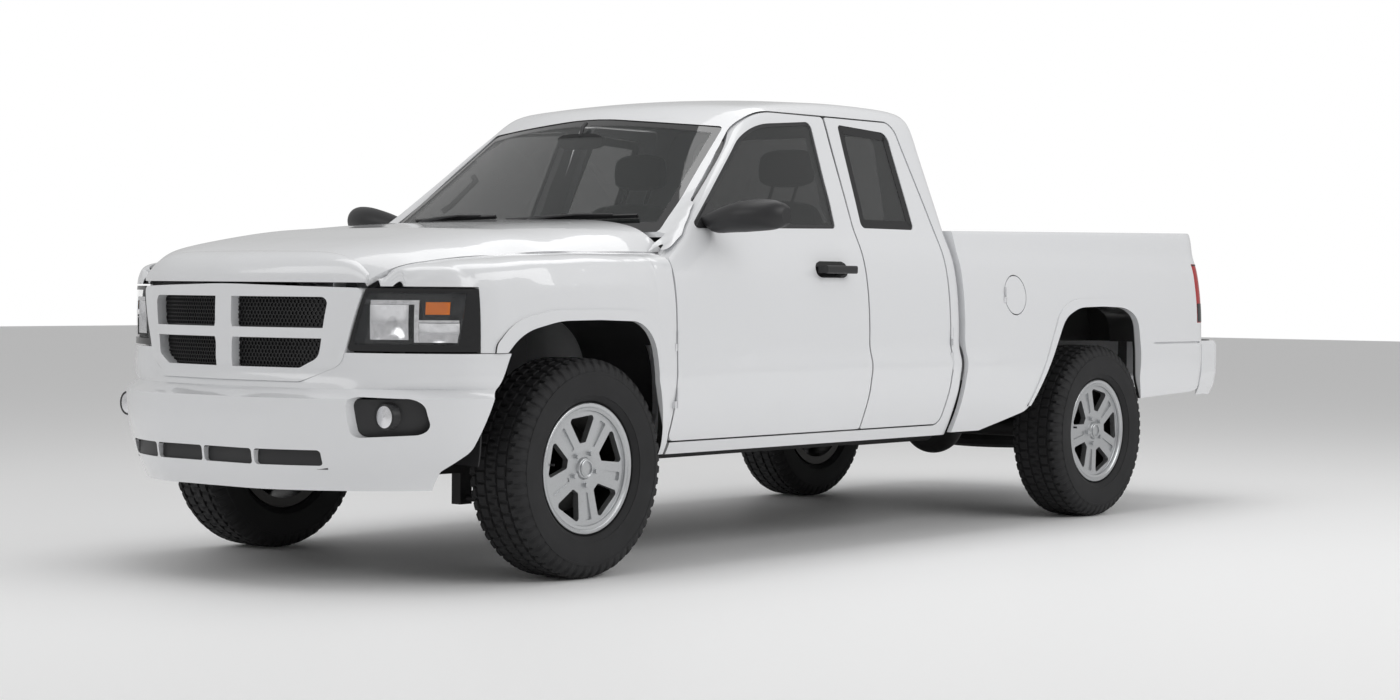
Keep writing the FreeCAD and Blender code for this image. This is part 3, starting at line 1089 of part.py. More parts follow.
def build_liners():
    outline_out = [(1378.6, 440), (1378.6, 500), (1378.8, 560), (1382, 650), (1412, 770), (1520, 868), (1680, 903), (1960, 903), (2130, 868), (2240, 770),
                   (2272, 640), (2284, 400)]
    outer = [(x, 0, z) for x, z in outline_out]
    inner = [(x + (4 if x < FRONT_AXLE_X else -4), 0, z - (4 if 800 < z else 0)) for x, z in outline_out][::-1]
    wire = ring(outer, [outer[-1], inner[0]], inner, [inner[-1], outer[0]])
    sheet = Part.Face(wire).extrude(V(0, 390, 0))
    left = sheet.copy()
    left.translate(V(0, 452, 0))
    left = left.cut(plan_prism([(2120, 846, 0), (2300, 788, 0), (2400, 788, 0), (2400, 900, 0), (2120, 900, 0)], 300, 1000))
    left = left.cut(box(1370, 1425, 766, 900, 300, 1000))
    keep("wheel_liners", left, mirrored(left))


# Cabin
def build_cabin():
    section = [(1297.7, 560, 0), (1297.7, 1055, 0), (1255, 1122, 40), (1120, 1142, 60), (1010, 1112, 50), (985, 985, 40),
               (1010, 820, 60), (1080, 700, 60), (1180, 640, 30), (1200, 560, 0)]
    board = side_prism(section, -735, 735)
    knee_room = side_prism([(960, 600, 0), (1190, 600, 0), (1190, 690, 0), (1080, 730, 40), (990, 850, 0), (960, 850, 0)],
                           -700, 700)
    board = board.cut(knee_room)
    screen_clear = loft_screen(-30, GLASS_INSET + GLASS_THICKNESS + 8)
    board = board.cut(screen_clear)
    tunnel = box(560, 1240, -110, 110, FLOOR_TOP_Z, 720)
    console = tunnel.makeFillet(30, [edge for edge in tunnel.Edges if abs(edge.tangentAt(0).x) > 0.9 and
                                     edge.CenterOfMass.z > 600])
    axis = V(-math.cos(math.radians(STEERING_TILT)), 0, math.sin(math.radians(STEERING_TILT)))
    hub = V(STEERING_X, STEERING_Y, STEERING_Z)
    column = Part.makeCylinder(34, 159.7, hub - axis * 210, axis)
    keep("dashboard", fused(board, console, column))

    grip = Part.makeTorus(176, 15, hub, axis)
    boss = Part.makeCylinder(52, 56, hub - axis * 50, axis)
    spokes = [rod_between(hub - axis * 18, hub + spoke_way(axis, angle) * 172, 12) for angle in (0, 180, 270)]
    keep("steering_wheel", fused(grip, boss, *spokes))

    parts = []
    for way in (-1, 1):
        y0, y1 = sorted((way * 130, way * 640))
        mid = way * 385
        base = box(330, 800, y0 + 40, y1 - 40, FLOOR_TOP_Z, 640)
        cushion = side_prism([(240, 640, 30), (250, 800, 50), (500, 785, 200), (830, 815, 60), (850, 690, 50), (800, 640, 20)],
                             y0, y1)
        back = side_prism([(270, 760, 30), (200, 700, 60), (90, 1300, 60), (170, 1350, 50), (250, 1280, 60), (375, 800, 50)],
                          y0 + 10, y1 - 10)
        head = side_prism([(60, 1385, 40), (60, 1545, 50), (165, 1560, 50), (175, 1395, 40)], mid - 130, mid + 130)
        posts = [rod((118, mid + s * 60, 1290), (112, mid + s * 60, 1400), 7) for s in (-1, 1)]
        parts.append(fused(base, cushion, back, head, *posts))
    keep("front_seats", *parts)
    bench = side_prism([(-345, FLOOR_TOP_Z, 0), (-345, 1270, 30), (-270, 1290, 30), (-225, 830, 30), (60, 815, 30),
                        (60, 740, 30), (20, 730, 0), (-60, FLOOR_TOP_Z, 0)], -690, 690)
    keep("rear_bench", bench)


def spoke_way(axis, angle):
    across = V(0, 1, 0)
    up = axis.cross(across).normalize()
    a = math.radians(angle)
    return across * math.cos(a) + up * math.sin(a)


def rod_between(start, end, radius):
    return Part.makeCylinder(radius, (end - start).Length, start, end - start)


def loft_screen(upper, lower):
    """Slab that follows the windscreen's surface between two depths."""
    wires = []
    for y in (-760, -600, -450, -300, -150, 0, 150, 300, 450, 600, 760):
        wrap = (y / 600) ** 2
        rows = []
        for depth in (upper, lower):
            rows.append([V(2850 + 40 * wrap - (z + depth) * (1.229 + 0.105 * wrap), y, z) for z in (1040, 1670)])
        wires.append(Part.makePolygon([rows[0][0], rows[0][1], rows[1][1], rows[1][0], rows[0][0]]))
    return Part.makeLoft(wires, True, False)


def build_cowl():
    face = [(-680, COWL_Z - 10, 0), (680, COWL_Z - 10, 0), (680, 1118, 20), (540, 1162, 60), (-540, 1162, 60),
            (-680, 1118, 20)]
    panel = front_prism(face, CAB_FRONT_X, CAB_FRONT_X + 20)
    x = HOOD_AXIS_X
    z = HOOD_AXIS_Z
    bracket = [(CAB_FRONT_X + 18, 1120, 0), (CAB_FRONT_X + 18, 1172, 6), (x + 4, z + 5, 4), (x - 5, z + 5, 4),
               (x - 5, z - 5, 4), (CAB_FRONT_X + 2, 1164, 6), (CAB_FRONT_X + 2, 1120, 0)]
    ears = []
    for y in (-HOOD_HINGE_Y, HOOD_HINGE_Y):
        ears += [side_prism(bracket, y + side - 3, y + side + 3) for side in (-20, 20)]
        ears.append(rod((x, y - 20, z), (x, y + 20, z), HOOD_PIN_RADIUS))
    keep("cowl_panel", fused(panel, *ears))


def build_all():
    build_cab()
    build_doors()
    build_hood()
    build_fenders()
    build_front()
    build_bed()
    build_rear_bumper()
    build_chassis()
    for x, place, turn in ((FRONT_AXLE_X, "front", 48), (REAR_AXLE_X, "rear", 66)):
        for way, side in ((1, "left"), (-1, "right")):
            build_wheel(x, way, place + "_" + side, math.radians(turn))
    build_spare()
    build_liners()
    build_cabin()
    build_cowl()


build_all()
os.makedirs("parts", exist_ok=True)
for name, shape in NODES.items():
    shape.exportStep("parts/" + name + ".step")
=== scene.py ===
"""Looks of the pickup truck: camera, light, floor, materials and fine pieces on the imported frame. Metres."""
import math

import bmesh
import bpy
from mathutils import Matrix, Vector
from mathutils.bvhtree import BVHTree
from mathutils.geometry import convex_hull_2d


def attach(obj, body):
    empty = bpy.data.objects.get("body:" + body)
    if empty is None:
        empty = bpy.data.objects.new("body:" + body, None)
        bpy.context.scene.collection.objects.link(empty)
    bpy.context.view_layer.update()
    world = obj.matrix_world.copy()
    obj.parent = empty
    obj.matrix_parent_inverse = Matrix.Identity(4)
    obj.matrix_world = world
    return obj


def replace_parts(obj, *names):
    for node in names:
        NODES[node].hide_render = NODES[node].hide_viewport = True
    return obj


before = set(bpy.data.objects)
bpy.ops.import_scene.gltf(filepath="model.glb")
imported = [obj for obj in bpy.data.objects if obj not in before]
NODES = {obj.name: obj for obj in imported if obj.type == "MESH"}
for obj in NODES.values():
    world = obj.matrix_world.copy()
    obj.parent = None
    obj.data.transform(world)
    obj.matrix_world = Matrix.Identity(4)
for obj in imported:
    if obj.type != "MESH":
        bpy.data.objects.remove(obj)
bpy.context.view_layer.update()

# Camera solved from the photograph
CAMERA_PLACE = (8.2738, 6.6396, 0.9937)
CAMERA_YAW = 3.8288
CAMERA_PITCH = -0.0250
CAMERA_ROLL = 0.0081
LENS_MM = 66.0
SENSOR_MM = 36.0

# Sizes shared with the solids
AXLE_Z = 0.374
HALF_TRACK = 0.765
FRONT_AXLE_X = 1.824
REAR_AXLE_X = -1.511
WHEELS = [("front", FRONT_AXLE_X), ("rear", REAR_AXLE_X)]
SIDES = [("left", 1), ("right", -1)]
WHEEL_FACE_Y = 0.822
HANDLE_X = 0.466
HANDLE_Z = 1.059
HANDLE_HALF_X = 0.100
HANDLE_HALF_Z = 0.031
SEAT_Y = 0.385
BENCH_Y = 0.336

# Where rays start that look for a surface of the solids
AHEAD_X = 3.0
BESIDE_Y = 1.5

# Painted shade on hidden faces: its reach round an axle, the outer skin it stays behind, and the heights it
# stays under
ARCH_REACH = 0.66
ARCH_SKIN_Y = 0.872
PAINTED_SHADE_TOP_Z = 0.80
UNDERSIDE_SHADE_TOP_Z = 0.47
PAINTED_SHADE = (0.02, 0.02, 0.02)

# Windscreen's outline and the width of its printed border
SCREEN_FOOT_Y = 0.690
SCREEN_FOOT_Z = 1.230
SCREEN_LEAN = 0.282
SCREEN_TOP_Z = 1.638
SCREEN_ARCH = 0.13
SCREEN_SIDE_BAND = 0.034
SCREEN_TOP_BAND = 0.032
SCREEN_FOOT_BAND_Z = 1.222
SCREEN_PRINT = (0.006, 0.006, 0.007)

PAINT_DARK = (0.74, 0.75, 0.765)
PAINT_LIGHT = (0.78, 0.785, 0.80)
# Painted shade for the wheel's barrel, hub and brake disc behind its face
WHEEL_BACK_SHADE = (0.035, 0.034, 0.033)

# Cloth simulation of the seat pads
PAD_SWELL = 0.010
PAD_PRESSURE = 3.0
PAD_STIFFNESS = 40
PAD_FRAMES = 12


# Shader helpers
def material(name, base, roughness=0.5, metallic=0.0):
    """New node material with plain values on its shader."""
    made = bpy.data.materials.new(name)
    made.use_nodes = True
    shader = made.node_tree.nodes["Principled BSDF"]
    shader.inputs["Base Color"].default_value = (*base, 1)
    shader.inputs["Roughness"].default_value = roughness
    shader.inputs["Metallic"].default_value = metallic
    return made, made.node_tree, shader


def add_bump(tree, shader, height, strength, distance):
    bump = tree.nodes.new("ShaderNodeBump")
    bump.inputs["Strength"].default_value = strength
    bump.inputs["Distance"].default_value = distance
    tree.links.new(height, bump.inputs["Height"])
    tree.links.new(bump.outputs["Normal"], shader.inputs["Normal"])


def noise(tree, scale, detail=2.0, stretch=(1, 1, 1)):
    """Noise over object coordinates."""
    place = tree.nodes.new("ShaderNodeTexCoord")
    mapping = tree.nodes.new("ShaderNodeMapping")
    mapping.inputs["Scale"].default_value = stretch
    texture = tree.nodes.new("ShaderNodeTexNoise")
    texture.inputs["Scale"].default_value = scale
    texture.inputs["Detail"].default_value = detail
    tree.links.new(place.outputs["Object"], mapping.inputs["Vector"])
    tree.links.new(mapping.outputs["Vector"], texture.inputs["Vector"])
    return texture


def vary(tree, source, socket, low, high):
    """Feeds a socket with a value that wanders between two limits."""
    scale = tree.nodes.new("ShaderNodeMapRange")
    scale.inputs["From Min"].default_value = 0.3
    scale.inputs["From Max"].default_value = 0.7
    scale.inputs["To Min"].default_value = low
    scale.inputs["To Max"].default_value = high
    tree.links.new(source, scale.inputs["Value"])
    tree.links.new(scale.outputs["Result"], socket)


def tint(tree, source, shader, dark, light):
    """Base colour that wanders between two shades."""
    ramp = tree.nodes.new("ShaderNodeValToRGB")
    ramp.color_ramp.elements[0].position = 0.3
    ramp.color_ramp.elements[1].position = 0.7
    ramp.color_ramp.elements[0].color = (*dark, 1)
    ramp.color_ramp.elements[1].color = (*light, 1)
    tree.links.new(source, ramp.inputs["Fac"])
    tree.links.new(ramp.outputs["Color"], shader.inputs["Base Color"])


def calculate(tree, operation, first, second=0.0):
    """Math node over sockets or plain numbers."""
    node = tree.nodes.new("ShaderNodeMath")
    node.operation = operation
    for socket, value in zip(node.inputs, (first, second)):
        if isinstance(value, (int, float)):
            socket.default_value = value
        else:
            tree.links.new(value, socket)
    return node.outputs[0]


def minus(tree, value):
    return calculate(tree, "MULTIPLY", value, -1.0)


def step_up(tree, value, edge, blur):
    """0 below the edge and 1 above it, over a short blur."""
    scale = tree.nodes.new("ShaderNodeMapRange")
    scale.inputs["From Min"].default_value = edge - blur
    scale.inputs["From Max"].default_value = edge + blur
    tree.links.new(value, scale.inputs["Value"])
    return scale.outputs["Result"]


def place_and_normal(tree):
    """Separate coordinates of the point and of its true normal."""
    place = tree.nodes.new("ShaderNodeTexCoord")
    point = tree.nodes.new("ShaderNodeSeparateXYZ")
    facing = tree.nodes.new("ShaderNodeSeparateXYZ")
    tree.links.new(place.outputs["Object"], point.inputs[0])
    tree.links.new(place.outputs["Normal"], facing.inputs[0])
    return point.outputs, facing.outputs


def cover(tree, shader, mask, colour):
    """Puts a second colour over the base colour where the mask is 1."""
    mix = tree.nodes.new("ShaderNodeMix")
    mix.data_type = "RGBA"
    link = shader.inputs["Base Color"].links[0]
    tree.links.new(link.from_socket, mix.inputs["A"])
    mix.inputs["B"].default_value = (*colour, 1)
    tree.links.new(mask, mix.inputs["Factor"])
    tree.links.new(mix.outputs["Result"], shader.inputs["Base Color"])


def wheel_arch(tree, point, outward):
    """1 inside the wheel arches, on faces behind the outer skin that don't look outward."""
    nearest = None
    for _, centre in WHEELS:
        along = calculate(tree, "SUBTRACT", point["X"], centre)
        up = calculate(tree, "SUBTRACT", point["Z"], AXLE_Z)
        along_square = calculate(tree, "MULTIPLY", along, along)
        square = calculate(tree, "ADD", along_square, calculate(tree, "MULTIPLY", up, up))
        nearest = square if nearest is None else calculate(tree, "MINIMUM", nearest, square)
    near = step_up(tree, minus(tree, nearest), -ARCH_REACH ** 2, 0.004)
    across = minus(tree, calculate(tree, "ABSOLUTE", point["Y"]))
    behind = calculate(tree, "MULTIPLY", near, step_up(tree, across, -ARCH_SKIN_Y, 0.002))
    return calculate(tree, "MULTIPLY", behind, step_up(tree, minus(tree, outward), -0.35, 0.05))


def paint_white(name, shaded_faces=None):
    """Gloss white; shaded_faces names which hidden faces get near-black painted shade: inner, housing or
    under.
    """
    made, tree, shader = material(name, PAINT_LIGHT, 0.32)
    shader.inputs["Coat Weight"].default_value = 1.0
    shader.inputs["Coat Roughness"].default_value = 0.03
    flake = noise(tree, 2400, 1)
    tint(tree, flake.outputs["Fac"], shader, PAINT_DARK, PAINT_LIGHT)
    peel = noise(tree, 160, 2)
    add_bump(tree, shader, peel.outputs["Fac"], 0.02, 0.0005)
    if shaded_faces is None:
        return made
    # Painted shade: the faces chosen below turn near black, where shade falls inside arches, behind panels and
    # underneath
    point, facing = place_and_normal(tree)
    side = calculate(tree, "SIGN", point["Y"])
    outward = calculate(tree, "MULTIPLY", side, facing["Y"])
    if shaded_faces == "inner":
        turned_in = step_up(tree, minus(tree, outward), 0.15, 0.05)
        low = step_up(tree, minus(tree, point["Z"]), -PAINTED_SHADE_TOP_Z, 0.002)
        inside = calculate(tree, "MULTIPLY", turned_in, low)
        mask = calculate(tree, "MAXIMUM", inside, wheel_arch(tree, point, outward))
    elif shaded_faces == "housing":
        turned_out = step_up(tree, outward, 0.15, 0.05)
        below = step_up(tree, minus(tree, facing["Z"]), 0.2, 0.05)
        mask = calculate(tree, "MAXIMUM", turned_out, below)
    else:
        below = step_up(tree, minus(tree, facing["Z"]), 0.6, 0.1)
        low = step_up(tree, minus(tree, point["Z"]), -UNDERSIDE_SHADE_TOP_Z, 0.01)
        mask = calculate(tree, "MULTIPLY", below, low)
    cover(tree, shader, mask, PAINTED_SHADE)
    return made


def screen_glass(name, colour, alpha):
    """Windscreen: see-through middle inside a black printed border."""
    made, tree, shader = material(name, colour, 0.02)
    shader.inputs["Coat Weight"].default_value = 1.0
    shader.inputs["Coat Roughness"].default_value = 0.01
    point, _ = place_and_normal(tree)
    across = calculate(tree, "ABSOLUTE", point["Y"])
    lean = calculate(tree, "MULTIPLY", point["Z"], SCREEN_LEAN)
    side_edge = SCREEN_FOOT_Y + SCREEN_LEAN * SCREEN_FOOT_Z - SCREEN_SIDE_BAND
    side = step_up(tree, calculate(tree, "ADD", across, lean), side_edge, 0.003)
    arch = calculate(tree, "MULTIPLY", calculate(tree, "MULTIPLY", across, across), SCREEN_ARCH)
    top = step_up(tree, calculate(tree, "ADD", point["Z"], arch), SCREEN_TOP_Z - SCREEN_TOP_BAND, 0.004)
    foot = step_up(tree, minus(tree, point["Z"]), -SCREEN_FOOT_BAND_Z, 0.003)
    border = calculate(tree, "MAXIMUM", calculate(tree, "MAXIMUM", side, top), foot)
    shade = noise(tree, 3.0, 1)
    tint(tree, shade.outputs["Fac"], shader, [c * 0.9 for c in colour], colour)
    cover(tree, shader, border, SCREEN_PRINT)
    solid = tree.nodes.new("ShaderNodeMapRange")
    solid.inputs["To Min"].default_value = alpha
    solid.inputs["To Max"].default_value = 1.0
    tree.links.new(border, solid.inputs["Value"])
    tree.links.new(solid.outputs["Result"], shader.inputs["Alpha"])
    return made


def plastic(name, dark, light, roughness, grain=900.0, depth=0.12):
    made, tree, shader = material(name, light, roughness)
    speck = noise(tree, grain, 3)
    tint(tree, speck.outputs["Fac"], shader, dark, light)
    vary(tree, speck.outputs["Fac"], shader.inputs["Roughness"], roughness - 0.06, roughness + 0.08)
    add_bump(tree, shader, speck.outputs["Fac"], depth, 0.0004)
    return made


def metal(name, dark, light, roughness, metallic=1.0, grain=260.0, depth=0.1):
    made, tree, shader = material(name, light, roughness, metallic)
    speck = noise(tree, grain, 4)
    tint(tree, speck.outputs["Fac"], shader, dark, light)
    vary(tree, speck.outputs["Fac"], shader.inputs["Roughness"], roughness - 0.05, roughness + 0.1)
    add_bump(tree, shader, speck.outputs["Fac"], depth, 0.0005)
    return made


def glass_dark(name, colour, roughness=0.02, alpha=0.45):
    """Tinted pane: partly see-through, with a clear reflection."""
    made, tree, shader = material(name, colour, roughness)
    shader.inputs["Alpha"].default_value = alpha
    shader.inputs["Coat Weight"].default_value = 1.0
    shader.inputs["Coat Roughness"].default_value = 0.01
    wave = noise(tree, 3.0, 1)
    add_bump(tree, shader, wave.outputs["Fac"], 0.01, 0.002)
    return made


def rubber(name, colour, roughness=0.75):
    made, tree, shader = material(name, colour, roughness)
    speck = noise(tree, 320, 5)
    dust = noise(tree, 9, 3)
    tint(tree, dust.outputs["Fac"], shader, [c * 0.8 for c in colour], [c * 1.25 for c in colour])
    add_bump(tree, shader, speck.outputs["Fac"], 0.25, 0.0004)
    return made


def fabric(name, dark, light):
    made, tree, shader = material(name, light, 0.9)
    place = tree.nodes.new("ShaderNodeTexCoord")
    weave = tree.nodes.new("ShaderNodeTexWave")
    weave.wave_type = "BANDS"
    weave.inputs["Scale"].default_value = 260
    weave.inputs["Distortion"].default_value = 1.5
    tree.links.new(place.outputs["Object"], weave.inputs["Vector"])
    tint(tree, weave.outputs["Fac"], shader, dark, light)
    add_bump(tree, shader, weave.outputs["Fac"], 0.4, 0.0006)
    shader.inputs["Sheen Weight"].default_value = 0.4
    return made


def alloy_wheel():
    """Silver wheel face; the barrel's inside, the hub and the brake disc behind it are dark with painted
    shade.
    """
    made = metal("alloy", (0.46, 0.47, 0.48), (0.58, 0.59, 0.60), 0.30, 0.85, 700.0, 0.03)
    tree = made.node_tree
    point, _ = place_and_normal(tree)
    across = minus(tree, calculate(tree, "ABSOLUTE", point["Y"]))
    behind = step_up(tree, across, -WHEEL_FACE_Y, 0.004)
    # Painted shade on everything behind the wheel's face
    cover(tree, tree.nodes["Principled BSDF"], behind, WHEEL_BACK_SHADE)
    return made


# Materials
PAINT = paint_white("white_paint")
PAINT_SHADED_INNER = paint_white("white_paint_shaded_inner", "inner")
PAINT_SHADED_HOUSING = paint_white("white_paint_shaded_housing", "housing")
PAINT_SHADED_UNDER = paint_white("white_paint_shaded_under", "under")
SCREEN_GLASS = screen_glass("windscreen_glass", (0.02, 0.024, 0.024), 0.40)
BLACK = plastic("black_plastic", (0.012, 0.012, 0.013), (0.024, 0.024, 0.026), 0.42)
GLOSS_BLACK = plastic("gloss_black", (0.008, 0.008, 0.009), (0.012, 0.012, 0.013), 0.12, 400.0, 0.02)
TRIM_GREY = plastic("interior_plastic", (0.035, 0.035, 0.037), (0.055, 0.055, 0.058), 0.6)
GLASS = glass_dark("tinted_glass", (0.012, 0.014, 0.014), 0.02, 0.62)
LENS = glass_dark("clear_lens", (0.30, 0.31, 0.32), 0.03, 0.07)
REFLECTOR = metal("lamp_reflector", (0.80, 0.80, 0.82), (0.90, 0.90, 0.92), 0.16, 1.0, 60.0, 0.02)
AMBER = plastic("amber_lens", (0.60, 0.13, 0.004), (0.78, 0.20, 0.008), 0.15, 300.0, 0.1)
RED_LENS = plastic("red_lens", (0.30, 0.006, 0.008), (0.46, 0.012, 0.014), 0.14, 300.0, 0.1)
STEEL_BLACK = metal("black_steel", (0.016, 0.016, 0.017), (0.035, 0.034, 0.034), 0.55, 0.3)
CAST = metal("cast_metal", (0.16, 0.16, 0.165), (0.30, 0.30, 0.31), 0.6, 0.8)
PIPE = metal("steel_pipe", (0.26, 0.24, 0.22), (0.48, 0.46, 0.44), 0.45, 1.0)
ALLOY = alloy_wheel()
RUBBER = rubber("tyre_rubber", (0.011, 0.011, 0.012))
FABRIC = fabric("seat_fabric", (0.02, 0.02, 0.022), (0.06, 0.06, 0.063))
MESH_BLACK = plastic("grille_black", (0.008, 0.008, 0.009), (0.018, 0.018, 0.019), 0.35, 700.0, 0.05)


def dress(material_used, *names):
    """Gives CAD nodes one material."""
    for name in names:
        node = NODES[name]
        node.data.materials.clear()
        node.data.materials.append(material_used)


def pair(name):
    return [name + "_left", name + "_right"]


dress(PAINT, "hood", "tailgate", "fuel_door", "grille_frame", "rear_bumper", *pair("door"))
dress(PAINT, *pair("rear_door"))
dress(PAINT_SHADED_INNER, *pair("fender"), *pair("bedside"))
dress(PAINT_SHADED_HOUSING, "load_bed")
dress(PAINT_SHADED_UNDER, "cab_shell", "front_bumper")
dress(BLACK, "tailgate_handle", "cowl_panel", "wheel_liners", *pair("mirror"), *pair("door_handle"))
dress(MESH_BLACK, "grille_mesh")
dress(SCREEN_GLASS, "windscreen")
dress(GLASS, "rear_window", *pair("door_glass"), *pair("rear_door_glass"))
dress(GLOSS_BLACK, "headlamps")
dress(BLACK, "fog_lamps")
dress(LENS, "headlamp_lenses")
dress(RED_LENS, "tail_lamps")
dress(STEEL_BLACK, "frame_rails", "control_arms", "rear_axle", "leaf_springs", "driveline", "fuel_tank",
      "spare_hanger", "bumper_beam", "radiator_support", *pair("knuckle"))
dress(CAST, "engine_block")
dress(PIPE, "exhaust")
dress(TRIM_GREY, "dashboard", "steering_wheel")
dress(FABRIC, "front_seats", "rear_bench")
dress(RUBBER, "spare_wheel")
for place, _ in WHEELS:
    for side, _ in SIDES:
        dress(RUBBER, "tyre_" + place + "_" + side)
        dress(ALLOY, "rim_" + place + "_" + side)


# Mesh helpers
TRIM_LIFT = 0.0012


def mesh_object(name, vertices, faces, materials=()):
    mesh = bpy.data.meshes.new(name)
    mesh.from_pydata(vertices, [], faces)
    for used in materials:
        mesh.materials.append(used)
    made = bpy.data.objects.new(name, mesh)
    bpy.context.scene.collection.objects.link(made)
    return made


def smooth(made, angle=0.6):
    """Smooth shading that keeps edges sharper than the angle."""
    mesh = made.data
    for polygon in mesh.polygons:
        polygon.use_smooth = True
    mesh.set_sharp_from_angle(angle=angle)
    return made


def join_parts(parts):
    """One list of vertices and faces from several."""
    vertices, faces = [], []
    for points, loops in parts:
        start = len(vertices)
        vertices += points
        faces += [[start + i for i in loop] for loop in loops]
    return vertices, faces


def piece(name, parts, used, body, angle=0.6):
    """Piece of the scene from closed parts, riding on a body."""
    vertices, faces = join_parts(parts)
    made = smooth(mesh_object(name, vertices, faces, [used]), angle)
    bm = bmesh.new()
    bm.from_mesh(made.data)
    bmesh.ops.recalc_face_normals(bm, faces=bm.faces)
    bm.to_mesh(made.data)
    bm.free()
    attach(made, body)
    return made


def slab(rows, back, closed=False):
    """Closed thin sheet from a grid of points and the same grid moved back."""
    high, wide = len(rows), len(rows[0])
    points = [Vector(p) for row in rows for p in row]
    backs = [p + Vector(back) for p in points]
    count = len(points)
    faces = []
    for i in range(high - 1):
        for j in range(wide if closed else wide - 1):
            a, b = i * wide + j, i * wide + (j + 1) % wide
            c, d = a + wide, b + wide
            faces += [(a, b, d, c), (count + c, count + d, count + b, count + a)]
    for j in range(wide if closed else wide - 1):
        k = (j + 1) % wide
        last = (high - 1) * wide
        faces += [(k, j, count + j, count + k), (last + j, last + k, count + last + k, count + last + j)]
    if not closed:
        for i in range(high - 1):
            a, b = i * wide, (i + 1) * wide
            faces += [(a, b, count + b, count + a)]
            a, b = a + wide - 1, b + wide - 1
            faces += [(b, a, count + a, count + b)]
    return points + backs, faces


def tube(route, radius, sides=8):
    """Closed tube along a route; radius may be a list with one value for each point."""
    points = [Vector(p) for p in route]
    sizes = radius if isinstance(radius, (list, tuple)) else [radius] * len(points)
    vertices, faces = [], []
    last_side = None
    for i, p in enumerate(points):
        way = (points[min(i + 1, len(points) - 1)] - points[max(i - 1, 0)]).normalized()
        if last_side is None:
            last_side = way.orthogonal().normalized()
        last_side = (last_side - way * last_side.dot(way)).normalized()
        other = way.cross(last_side)
        for k in range(sides):
            turn = 2 * math.pi * k / sides
            vertices.append(p + (last_side * math.cos(turn) + other * math.sin(turn)) * sizes[i])
    for i in range(len(points) - 1):
        for k in range(sides):
            a, b = i * sides + k, i * sides + (k + 1) % sides
            faces.append((a, b, b + sides, a + sides))
    faces.append(tuple(range(sides))[::-1])
    faces.append(tuple((len(points) - 1) * sides + k for k in range(sides)))
    return vertices, faces


def bar_between(start, end, across, half_wide, half_deep):
    """Square bar between two points."""
    start, end = Vector(start), Vector(end)
    way = (end - start).normalized()
    across = Vector(across)
    across = (across - way * across.dot(way)).normalized()
    side = way.cross(across)
    corners = []
    for p in (start, end):
        corners += [p + side * half_wide * a + across * half_deep * b
                    for a, b in ((1, 1), (-1, 1), (-1, -1), (1, -1))]
    return corners, [(0, 1, 2, 3), (7, 6, 5, 4), (0, 4, 5, 1), (1, 5, 6, 2), (2, 6, 7, 3), (3, 7, 4, 0)]


def turned(profile, centre, axis, steps=48):
    """Closed ring or disc: a closed profile of (out, along) pairs turned round an axis through the centre."""
    axis = Vector(axis).normalized()
    side = axis.orthogonal().normalized()
    other = axis.cross(side)
    centre = Vector(centre)
    vertices, faces = [], []
    count = len(profile)
    for k in range(steps):
        turn = 2 * math.pi * k / steps
        way = side * math.cos(turn) + other * math.sin(turn)
        vertices += [centre + way * out + axis * along for out, along in profile]
    for k in range(steps):
        for i in range(count):
            a, b = k * count + i, k * count + (i + 1) % count
            c, d = ((k + 1) % steps) * count + i, ((k + 1) % steps) * count + (i + 1) % count
            faces.append((a, b, d, c))
    return vertices, faces


def surface(*names):
    """Tree of the faces of CAD nodes, to set pieces against."""
    vertices, faces = [], []
    for name in names:
        mesh = NODES[name].data
        start = len(vertices)
        vertices += [vertex.co.copy() for vertex in mesh.vertices]
        faces += [[start + i for i in polygon.vertices] for polygon in mesh.polygons]
    return BVHTree.FromPolygons(vertices, faces)


def hit(tree, origin, way):
    return tree.ray_cast(Vector(origin), Vector(way))[0]


def outline_of(name, first, second):
    """Outline of a node seen along one axis, as its hull in the two other coordinates."""
    points = [Vector((v.co[first], v.co[second])) for v in NODES[name].data.vertices]
    return [points[i] for i in convex_hull_2d(points)]


def resampled(outline, pitch):
    """Closed outline with points at an even pitch."""
    dense = []
    for i, p in enumerate(outline):
        q = outline[(i + 1) % len(outline)]
        count = max(1, round((q - p).length / pitch))
        dense += [p.lerp(q, k / count) for k in range(count)]
    return dense


def moved_in(outline, distance):
    """Closed outline moved inward by a distance."""
    centre = sum(outline, Vector((0, 0))) / len(outline)
    out = []
    for i, p in enumerate(outline):
        run = (outline[(i + 1) % len(outline)] - outline[i - 1]).normalized()
        side = Vector((-run.y, run.x))
        if side.dot(centre - p) < 0:
            side = -side
        out.append(p + side * distance)
    return out


def trim_ring(name, node, way, inner, used, body):
    """Flat band along the edge of a side glass, just over its surface."""
    outer = 0.001
    tree = surface(node)
    outline = resampled(outline_of(node, 0, 2), 0.02)
    rows = []
    for depth in (outer, (inner + outer) / 2, inner):
        row = []
        for p in moved_in(outline, depth):
            found = hit(tree, (p.x, way * BESIDE_Y, p.y), (0, -way, 0))
            if found is None:
                near = tree.find_nearest(Vector((p.x, way * 0.75, p.y)))[0]
                found = Vector((p.x, near.y, p.y))
            row.append(found + Vector((0, way * TRIM_LIFT, 0)))
        rows.append(row)
    piece(name, [slab(rows, (0, -way * TRIM_LIFT * 0.8, 0), True)], used, body)


